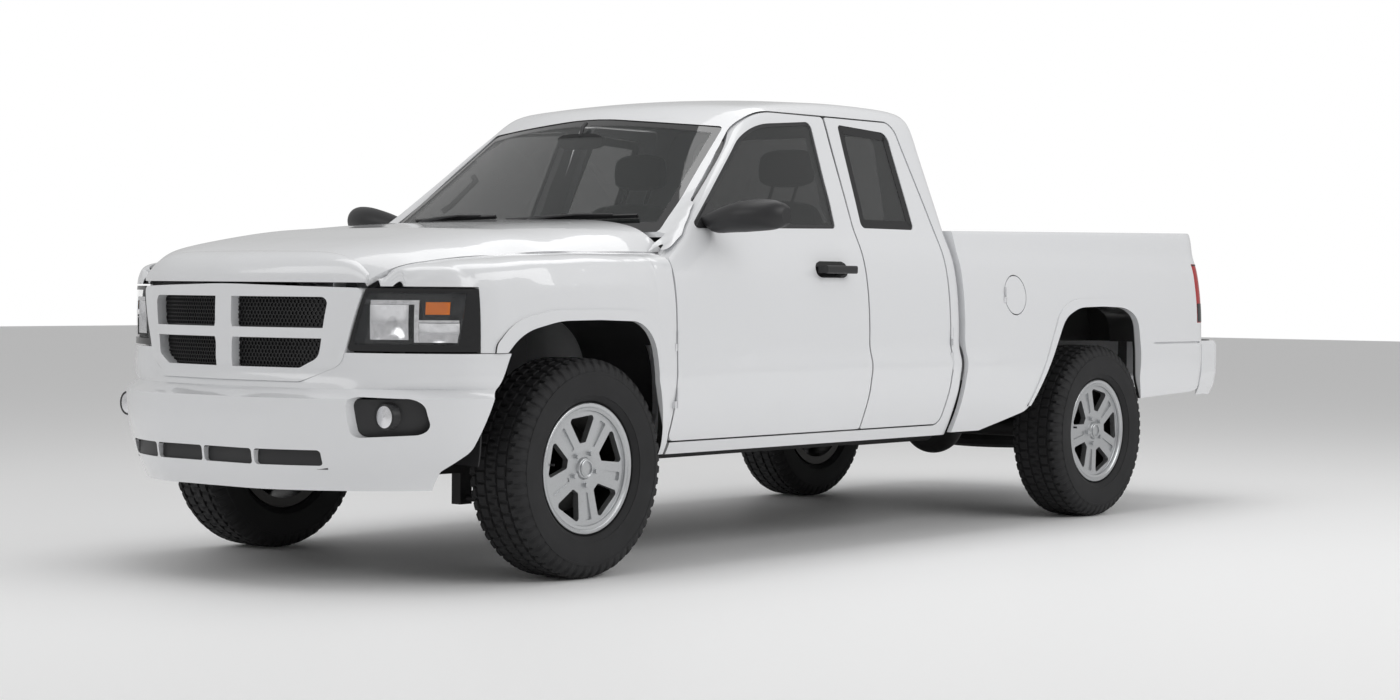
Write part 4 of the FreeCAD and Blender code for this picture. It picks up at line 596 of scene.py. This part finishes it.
# Floor, backdrop, light and camera
def build_stage():
    floor_paint, tree, shader = material("floor", (0.93, 0.93, 0.93), 0.55)
    grain = noise(tree, 30, 2)
    vary(tree, grain.outputs["Fac"], shader.inputs["Roughness"], 0.5, 0.62)
    floor = mesh_object("floor", [(-40, -40, 0), (40, -40, 0), (40, 40, 0), (-40, 40, 0)], [(0, 1, 2, 3)],
                        [floor_paint])
    world = bpy.data.worlds.new("studio")
    bpy.context.scene.world = world
    world.use_nodes = True
    tree = world.node_tree
    background = tree.nodes["Background"]
    background.inputs["Color"].default_value = (1, 1, 1, 1)
    background.inputs["Strength"].default_value = 0.50
    backdrop = tree.nodes.new("ShaderNodeBackground")
    backdrop.inputs["Color"].default_value = (1, 1, 1, 1)
    backdrop.inputs["Strength"].default_value = 1.0
    path = tree.nodes.new("ShaderNodeLightPath")
    mix = tree.nodes.new("ShaderNodeMixShader")
    tree.links.new(path.outputs["Is Camera Ray"], mix.inputs["Fac"])
    tree.links.new(background.outputs["Background"], mix.inputs[1])
    tree.links.new(backdrop.outputs["Background"], mix.inputs[2])
    tree.links.new(mix.outputs["Shader"], tree.nodes["World Output"].inputs["Surface"])


def lamp(name, place, target, size, power):
    data = bpy.data.lights.new(name, "AREA")
    data.shape = "RECTANGLE"
    data.size, data.size_y = size
    data.energy = power
    made = bpy.data.objects.new(name, data)
    made.location = place
    made.rotation_euler = (Vector(target) - Vector(place)).to_track_quat("-Z", "Y").to_euler()
    bpy.context.scene.collection.objects.link(made)


def build_lights():
    lamp("key", (-1.0, 7.5, 5.0), (0, 0, 0.8), (9, 3), 215)
    lamp("front", (8.0, -2.0, 4.5), (1.5, 0, 0.8), (5, 3), 70)
    lamp("top", (0, 0, 6.0), (0, 0, 0), (8, 3), 130)


def build_camera():
    data = bpy.data.cameras.new("camera")
    data.lens = LENS_MM
    data.sensor_width = SENSOR_MM
    data.clip_end = 200
    camera = bpy.data.objects.new("camera", data)
    level = math.cos(CAMERA_PITCH)
    forward = Vector((level * math.cos(CAMERA_YAW), level * math.sin(CAMERA_YAW), math.sin(CAMERA_PITCH)))
    right = forward.cross(Vector((0, 0, 1))).normalized()
    up = right.cross(forward)
    turn = Matrix.Rotation(-CAMERA_ROLL, 3, forward)
    right, up = turn @ right, turn @ up
    axes = Matrix((right, up, -forward)).transposed()
    camera.matrix_world = Matrix.Translation(Vector(CAMERA_PLACE)) @ axes.to_4x4()
    bpy.context.scene.collection.objects.link(camera)
    bpy.context.scene.camera = camera


# Tyres with tread, in place of the plain solids
TREAD_PITCHES = 56
PITCH_STEPS = 8
GROOVE = 0.009
SHALLOW_GROOVE = 0.75
SHOULDER_STEP = 0.0012
TYRE_HALF = 0.122
RIM_EDGE = 0.226
# Tread columns: 2 middle, 3 inner, 4 outer, 5 shoulder; 0 isn't cut across
COLUMN_SHIFT = {0: 0, 2: 0, 3: 3, 4: 6, 5: 1}
INNER_SIDE_SHIFT = 4


def tyre_section():
    """(across, radius, tread column) from the outer bead over the tread to the inner bead."""
    wall = [(0.088, RIM_EDGE + 0.002), (0.098, RIM_EDGE + 0.004), (0.106, RIM_EDGE + 0.012),
            (0.113, RIM_EDGE + 0.022), (0.1155, RIM_EDGE + 0.0225), (0.1165, RIM_EDGE + 0.032),
            (0.1205, 0.285), (TYRE_HALF, 0.306), (0.1215, 0.320), (0.1225, 0.3205), (0.1220, 0.327),
            (0.1200, 0.3275)]
    shoulder = [(0.1175, 0.338, 5), (0.1135, 0.350, 5), (0.106, 0.361, 5), (0.097, 0.368, 5),
                (0.086, 0.3718, 4)]
    crown = [(0.074, 0.3728, 4), (0.0725, 0.3645, 0), (0.0645, 0.3645, 0), (0.063, 0.3734, 3),
             (0.042, 0.3738, 3), (0.031, 0.3739, 3), (0.0295, 0.3650, 0), (0.0215, 0.3650, 0),
             (0.020, 0.374, 2), (0.007, 0.374, 2)]
    half = [(a, r, 0) for a, r in wall] + shoulder + crown
    return half + [(-a, r, c) for a, r, c in reversed(half)] + [(-0.088, 0.2045, 0), (0.088, 0.2045, 0)]


def tread_depth(step, across, column):
    """How deep the tread is cut at a step round the tyre."""
    count = step + COLUMN_SHIFT[column] + (INNER_SIDE_SHIFT if across < 0 else 0)
    wide = (0, 1, 2) if column == 5 else (0, 1)
    if column and count % PITCH_STEPS in wide:
        return GROOVE * (SHALLOW_GROOVE if column in (2, 3) else 1.0)
    if column == 5 and count // PITCH_STEPS % 2:
        return SHOULDER_STEP
    return 0.0


def build_tyre(place, side, x, way):
    section = tyre_section()
    steps = TREAD_PITCHES * PITCH_STEPS
    vertices, faces = [], []
    for k in range(steps):
        turn = 2 * math.pi * k / steps
        for across, radius, column in section:
            r = radius - tread_depth(k, across, column)
            y = way * (HALF_TRACK + across)
            vertices.append((x + r * math.cos(turn), y, AXLE_Z + r * math.sin(turn)))
    count = len(section)
    for k in range(steps):
        for i in range(count):
            j = (i + 1) % count
            a, b = k * count + i, k * count + j
            c, d = (k + 1) % steps * count + i, (k + 1) % steps * count + j
            faces.append((a, b, d, c))
    corner = place + "_" + side
    made = piece("tread_tyre_" + corner, [(vertices, faces)], RUBBER, "wheel_" + corner, 0.5)
    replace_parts(made, "tyre_" + corner)


def build_wheel_details(place, side, x, way):
    """Centre cap ring and valve of one wheel."""
    corner = place + "_" + side
    body = "wheel_" + corner
    face_y = way * (HALF_TRACK + 0.083)
    profile = [(0.024, 0.0), (0.031, 0.0), (0.031, way * 0.0065), (0.0285, way * 0.008),
               (0.024, way * 0.0065)]
    ring = turned(profile, (x, face_y + way * 0.0048, AXLE_Z), (0, 1, 0), 40)
    piece("cap_ring_" + corner, [ring], ALLOY, body)
    valve = [(x + out, way * (HALF_TRACK + across), AXLE_Z + 0.02)
             for out, across in ((0.176, 0.070), (0.170, 0.090), (0.166, 0.096))]
    piece("valve_" + corner, [tube(valve, 0.0042, 8)], BLACK, body)


# Grille
HEX_SIZE = 0.0085
HEX_STROKE = 0.0011
HEX_DEPTH = 0.0028
OPENING = [(0.330, 0.716), (0.400, 0.750), (0.434, 0.948)]
OPENING_LOW_Z = OPENING[0][1]
OPENING_HEIGHT = 0.232
BAR_LOW_Z = 0.812
BAR_HIGH_Z = 0.848
POST_HALF_Y = 0.036


def opening_half(z):
    """Half width of the grille opening at a height."""
    low, middle, high = OPENING
    if z < middle[1]:
        return low[0] + (middle[0] - low[0]) * (z - low[1]) / (middle[1] - low[1])
    return middle[0] + (high[0] - middle[0]) * (z - middle[1]) / (high[1] - middle[1])


def build_grille():
    """Honeycomb of bars on the mesh panel, left out behind the surround's bar and post."""
    tree = surface("grille_mesh")
    wide = HEX_SIZE * math.sqrt(3)
    parts = []
    lift = Vector((HEX_DEPTH, 0, 0))
    for row in range(int(OPENING_HEIGHT / (1.5 * HEX_SIZE)) + 1):
        z = OPENING_LOW_Z + row * 1.5 * HEX_SIZE
        shift = wide / 2 if row % 2 else 0.0
        count = int(opening_half(z) / wide) + 1
        for k in range(-count, count + 1):
            y = k * wide + shift
            if abs(y) > opening_half(z) + 0.004 or BAR_LOW_Z < z < BAR_HIGH_Z or abs(y) < POST_HALF_Y:
                continue
            corners = []
            for c in (0, 1, 2, 3):
                turn = math.pi / 6 + c * math.pi / 3
                origin = (AHEAD_X, y + HEX_SIZE * math.cos(turn), z + HEX_SIZE * math.sin(turn))
                corners.append(hit(tree, origin, (-1, 0, 0)))
            for a, b in zip(corners, corners[1:]):
                if a is not None and b is not None:
                    parts.append(bar_between(a + lift, b + lift, (1, 0, 0), HEX_STROKE, HEX_DEPTH))
    piece("grille_honeycomb", parts, MESH_BLACK, "chassis", 0.3)


# Lamps
def bowl(tree, y0, y1, z0, z1, depth, bulge, way, count=14):
    """Reflector set behind the lens: a dished patch over a rectangle of the lamp's face."""
    rows = []
    for i in range(count + 1):
        row = []
        for j in range(count + 1):
            u, v = j / count * 2 - 1, i / count * 2 - 1
            y = (y0 + y1) / 2 + u * (y1 - y0) / 2
            z = (z0 + z1) / 2 + v * (z1 - z0) / 2
            found = hit(tree, (AHEAD_X, way * y, z), (-1, 0, 0))
            if found is None:
                found = tree.find_nearest(Vector((2.5, way * y, z)))[0]
            dish = (1 - u * u) * (1 - v * v)
            row.append(Vector((found.x - depth - bulge * dish, way * y, z)))
        rows.append(row)
    return slab(rows, (-0.002, 0, 0))


def build_headlamp(side, way):
    tree = surface("headlamp_lenses")
    chrome = [bowl(tree, 0.566, 0.682, 0.812, 0.925, 0.010, 0.022, way, 20),
              bowl(tree, 0.712, 0.806, 0.804, 0.866, 0.008, 0.020, way, 16)]
    piece("lamp_bowls_" + side, chrome, REFLECTOR, "chassis", 0.9)
    amber = [bowl(tree, 0.728, 0.784, 0.894, 0.934, 0.007, 0.004, way, 8)]
    piece("lamp_amber_" + side, amber, AMBER, "chassis")
    seat = hit(tree, (AHEAD_X, way * 0.624, 0.868), (-1, 0, 0))
    bulb = turned([(0.002, -0.012), (0.016, -0.012), (0.018, -0.004), (0.013, 0.004), (0.002, 0.007)],
                  seat + Vector((-0.020, 0, 0)), (1, 0.1 * way, 0), 28)
    piece("lamp_bulb_" + side, [bulb], LENS, "chassis")
    rim = []
    for y0, y1, z0, z1 in ((0.552, 0.700, 0.926, 0.940), (0.700, 0.712, 0.804, 0.940),
                           (0.712, 0.806, 0.868, 0.876)):
        rim.append(bowl(tree, y0, y1, z0, z1, 0.006, 0.0, way, 8))
    piece("lamp_ribs_" + side, rim, REFLECTOR, "chassis")


def build_fog_lamp(side, way):
    centre = (2.566, way * 0.650, 0.565)
    ring = turned([(0.036, 0.0), (0.0425, 0.0), (0.0425, 0.002), (0.038, 0.003), (0.036, 0.001)], centre,
                  (1, 0, 0), 40)
    piece("fog_ring_" + side, [ring], BLACK, "chassis")
    glass = turned([(0.001, 0.0005), (0.0355, 0.0005), (0.0355, 0.001), (0.022, 0.0025), (0.001, 0.0035)],
                   centre, (1, 0, 0), 40)
    piece("fog_lens_" + side, [glass], REFLECTOR, "chassis")


def build_slot_shade():
    """Dark panel behind the lower air slots: a black sheet that paints the shade inside them."""
    tree = surface("front_bumper")
    rows = []
    for z in (0.392, 0.430, 0.468):
        row = []
        for k in range(33):
            y = -0.48 + 0.96 * k / 32
            found = hit(tree, (AHEAD_X, y, 0.480), (-1, 0, 0))
            row.append(Vector((found.x - 0.024, y, z)))
        rows.append(row)
    piece("slot_shade_panel", [slab(rows, (-0.002, 0, 0))], BLACK, "chassis")


def build_handle_recess_shade(side, way):
    """Dark oval behind the door handle: a black plate that paints the shade in the handle's recess."""
    tree = surface("door_" + side)
    rows = []
    for i in range(9):
        z = HANDLE_Z + HANDLE_HALF_Z * (i / 4 - 1)
        reach = HANDLE_HALF_X - HANDLE_HALF_Z + math.sqrt(max(0.0, HANDLE_HALF_Z ** 2 - (z - HANDLE_Z) ** 2))
        row = []
        for k in range(17):
            x = HANDLE_X + reach * (k / 8 - 1)
            found = hit(tree, (x, way * BESIDE_Y, z), (0, -way, 0))
            row.append(found + Vector((0, way * TRIM_LIFT, 0)))
        rows.append(row)
    sheet = slab(rows, (0, -way * 0.001, 0))
    piece("handle_recess_shade_" + side, [sheet], GLOSS_BLACK, "door_" + side)


# Wipers, interior mirror and grab handle
SCREEN_NORMAL = (0.62, 0, 0.78)


def screen_point(tree, y, z, lift):
    """Point over the windscreen at a place across and a height."""
    found = hit(tree, (AHEAD_X, y, z), (-1, 0, 0))
    if found is None:
        found = tree.find_nearest(Vector((1.3, y, z)))[0]
    return found + Vector(SCREEN_NORMAL) * lift


def build_wiper(name, pivot, tip, tree):
    """Arm from its pivot to the middle of a blade that lies near the foot of the glass."""
    start = Vector(pivot)
    blade = []
    for k in range(13):
        t = k / 12
        y = tip[0] + (tip[1] - tip[0]) * t
        z = tip[2] + (tip[3] - tip[2]) * t
        blade.append(screen_point(tree, y, z, 0.012))
    middle = blade[7] + Vector((0.004, 0, 0.010))
    arm = [start, start + Vector((0.0, 0, 0.018)), start.lerp(middle, 0.25) + Vector((0.010, 0, 0.022)),
           start.lerp(middle, 0.6) + Vector((0.008, 0, 0.014)), middle]
    parts = [tube(arm, [0.012, 0.011, 0.008, 0.006, 0.005], 10)]
    for a, b in zip(blade, blade[1:]):
        parts.append(bar_between(a, b, SCREEN_NORMAL, 0.0045, 0.0065))
    parts.append(tube([blade[3] + Vector((0.003, 0, 0.006)), blade[7] + Vector((0.005, 0, 0.010)),
                       blade[10] + Vector((0.003, 0, 0.006))], 0.005, 8))
    cap = turned([(0.001, 0.0), (0.018, 0.0), (0.017, 0.010), (0.010, 0.016), (0.001, 0.017)], start,
                 (0.3, 0, 1), 24)
    parts.append(cap)
    piece(name, parts, BLACK, "chassis")


def build_cabin_details():
    """Interior mirror and the grab handle on the passenger's pillar."""
    mirror = []
    for k in range(9):
        y = -0.115 + 0.23 * k / 8
        half = 0.030 * math.sqrt(max(0.15, 1 - (y / 0.125) ** 4))
        mirror.append((y, half))
    front = [[Vector((0.905, y, 1.545 + half * s)) for y, half in mirror] for s in (-1, -0.5, 0.5, 1)]
    stalk = tube([(0.92, 0, 1.565), (0.905, 0, 1.60), (0.885, 0, 1.618)], 0.007, 10)
    parts = [slab(front, (0.018, 0, 0)), stalk]
    piece("interior_mirror", parts, BLACK, "chassis")
    route = [(1.075, -0.588, 1.28), (1.060, -0.560, 1.30), (0.985, -0.545, 1.365), (0.930, -0.548, 1.405),
             (0.918, -0.572, 1.42)]
    grip = tube(route, [0.012, 0.011, 0.010, 0.011, 0.012], 12)
    piece("grab_handle", [grip], TRIM_GREY, "chassis")


# Seats: padded pieces in the place of the plain solids
def seams(u):
    """Share of a cushion's depth left by its sewn channels, at a share of its half width."""
    return 1.0 - 0.020 * math.exp(-((abs(u) - 0.52) / 0.045) ** 2) - 0.012 * math.exp(-(u / 0.05) ** 2)


def pad(name, corners, rows, width, y_mid, crown):
    """Cushion from a side outline: its skin pulls in at the sides and swells between the seams."""
    outline = resampled([Vector(p) for p in corners], 0.022)
    centre = sum(outline, Vector((0, 0))) / len(outline)
    count = len(outline)
    vertices, faces = [], []
    for k in range(rows + 1):
        u = k / rows * 2 - 1
        pull = 1 - 0.16 * abs(u) ** 6 - 0.05 * abs(u) ** 2
        swell = 1 + crown * (1 - u * u)
        for i, p in enumerate(outline):
            q = centre + (p - centre) * pull * swell * seams(u)
            vertices.append((q.x, y_mid + u * width / 2, q.y))
    for k in range(rows):
        for i in range(count):
            j = (i + 1) % count
            a, b = k * count + i, k * count + j
            faces.append((a, b, b + count, a + count))
    for k, sign in ((0, -1), (rows, 1)):
        middle = len(vertices)
        vertices.append((centre.x, y_mid + sign * (width / 2 + 0.006), centre.y))
        ring = []
        for i in range(count):
            base = Vector(vertices[k * count + i])
            inner = base.lerp(Vector(vertices[middle]), 0.35)
            inner.y = y_mid + sign * (width / 2 + 0.006)
            ring.append(len(vertices))
            vertices.append(tuple(inner))
        for i in range(count):
            j = (i + 1) % count
            a, b = k * count + i, k * count + j
            faces.append((a, b, ring[j], ring[i]) if sign < 0 else (b, a, ring[i], ring[j]))
            faces.append((ring[i], ring[j], middle) if sign < 0 else (ring[j], ring[i], middle))
    made = piece(name, [(vertices, faces)], FABRIC, "chassis", 1.2)
    swell_cloth(made)
    subdivide = made.modifiers.new("round", "SUBSURF")
    subdivide.levels = 1
    subdivide.render_levels = 1
    return made


def swell_cloth(made):
    """Inflates a cushion a little by cloth simulation and applies the result."""
    start = [vertex.co.copy() for vertex in made.data.vertices]
    cloth = made.modifiers.new("swell", "CLOTH")
    cloth.settings.use_pressure = True
    cloth.settings.uniform_pressure_force = PAD_PRESSURE
    cloth.settings.effector_weights.gravity = 0.0
    cloth.settings.tension_stiffness = PAD_STIFFNESS
    cloth.settings.compression_stiffness = PAD_STIFFNESS
    cloth.point_cache.frame_start = 1
    cloth.point_cache.frame_end = PAD_FRAMES
    for frame_number in range(1, PAD_FRAMES + 1):
        bpy.context.scene.frame_set(frame_number)
    solved = made.evaluated_get(bpy.context.evaluated_depsgraph_get())
    ends = [vertex.co.copy() for vertex in solved.data.vertices]
    made.modifiers.remove(cloth)
    for vertex, before, after in zip(made.data.vertices, start, ends):
        move = after - before
        if move.length > PAD_SWELL:
            move *= PAD_SWELL / move.length
        vertex.co = before + move
    bpy.context.scene.frame_set(1)


def build_seats():
    pieces = []
    for side, way in SIDES:
        y = way * SEAT_Y
        cushion = [(0.262, 0.655), (0.268, 0.775), (0.42, 0.790), (0.62, 0.788), (0.76, 0.806),
                   (0.815, 0.795), (0.828, 0.730), (0.79, 0.655), (0.52, 0.648)]
        pieces.append(pad("seat_cushion_" + side, cushion, 26, 0.475, y, 0.02))
        back = [(0.262, 0.800), (0.205, 1.02), (0.125, 1.285), (0.150, 1.335), (0.200, 1.335), (0.238, 1.275),
                (0.292, 1.06), (0.352, 0.850), (0.335, 0.800)]
        pieces.append(pad("seat_back_" + side, back, 26, 0.455, y, 0.02))
        head = [(0.078, 1.400), (0.074, 1.460), (0.082, 1.525), (0.112, 1.540), (0.146, 1.525),
                (0.160, 1.460), (0.152, 1.402), (0.115, 1.392)]
        pieces.append(pad("headrest_" + side, head, 18, 0.235, y, 0.03))
        legs = [bar_between((x, y + end * 0.19, 0.522), (x, y + end * 0.19, 0.650), (1, 0, 0), 0.02, 0.02)
                for x in (0.35, 0.76) for end in (-1, 1)]
        pan = bar_between((0.31, y, 0.642), (0.79, y, 0.642), (0, 0, 1), 0.20, 0.008)
        posts = [tube([(0.172, y + end * 0.06, 1.300), (0.118, y + end * 0.06, 1.41)], 0.007, 10)
                 for end in (-1, 1)]
        pivots = [tube([(0.285, y + end * way * 0.20, 0.70), (0.262, y + end * way * 0.20, 0.86)], 0.022, 10)
                  for end in (-1, 1)]
        frame_parts = legs + [pan] + posts + pivots
        pieces.append(piece("seat_frame_" + side, frame_parts, STEEL_BLACK, "chassis"))
    for made in pieces:
        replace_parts(made, "front_seats")
    bench = [(-0.225, 0.560), (-0.225, 0.800), (-0.10, 0.812), (0.04, 0.806), (0.050, 0.752), (0.010, 0.738),
             (-0.075, 0.560)]
    back = [(-0.335, 0.830), (-0.335, 1.250), (-0.300, 1.272), (-0.278, 1.240), (-0.236, 0.835)]
    for side, way in SIDES:
        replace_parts(pad("bench_cushion_" + side, bench, 26, 0.655, way * BENCH_Y, 0.015), "rear_bench")
        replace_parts(pad("bench_back_" + side, back, 26, 0.655, way * BENCH_Y, 0.015), "rear_bench")


# Rear end
def build_rear_details():
    """Step pad on the rear bumper and dark bands at the tail lamps' ends."""
    tree = surface("rear_bumper")
    rows = []
    for i in range(5):
        row = []
        for k in range(41):
            y = -0.80 + 1.60 * k / 40
            edge = hit(tree, (-3.2, y, 0.70), (1, 0, 0))
            x = edge.x + 0.030 + (min(-2.50, edge.x + 0.19) - edge.x - 0.030) * i / 4
            found = hit(tree, (x, y, 0.9), (0, 0, -1))
            row.append(Vector((x, y, (found.z if found else 0.757) + 0.0022)))
        rows.append(row)
    piece("step_pad", [slab(rows, (0, 0, -0.0018))], BLACK, "chassis")
    lamp_tree = surface("tail_lamps")
    for side, way in SIDES:
        parts = []
        for z0, z1 in ((0.846, 0.930), (1.104, 1.110)):
            rows = []
            for i in range(7):
                z = z0 + (z1 - z0) * i / 6
                row = []
                for k in range(9):
                    x = -2.436 + 0.088 * k / 8
                    found = hit(lamp_tree, (x, way * BESIDE_Y, z), (0, -way, 0))
                    if found is None:
                        found = Vector((x, way * 0.885, z))
                    row.append(found + Vector((0, way * TRIM_LIFT, 0)))
                rows.append(row)
            parts.append(slab(rows, (0, -way * 0.001, 0)))
        piece("tail_lamp_foot_" + side, parts, GLOSS_BLACK, "chassis")


def build_details():
    for place, x in WHEELS:
        for side, way in SIDES:
            build_tyre(place, side, x, way)
            build_wheel_details(place, side, x, way)
    build_grille()
    for side, way in SIDES:
        build_headlamp(side, way)
        build_fog_lamp(side, way)
        build_handle_recess_shade(side, way)
        trim_ring("window_seal_" + side, "door_glass_" + side, way, 0.014, BLACK, "door_" + side)
        trim_ring("quarter_border_" + side, "rear_door_glass_" + side, way, 0.034, GLOSS_BLACK,
                  "rear_door_" + side)
    build_slot_shade()
    screen = surface("windscreen")
    build_wiper("wiper_left", (1.365, 0.10, 1.196), (0.02, 0.58, 1.222, 1.236), screen)
    build_wiper("wiper_right", (1.362, -0.44, 1.196), (-0.53, -0.05, 1.226, 1.236), screen)
    build_cabin_details()
    build_seats()
    build_rear_details()


build_details()
build_stage()
build_lights()
build_camera()
bpy.context.scene.view_settings.view_transform = "Standard"
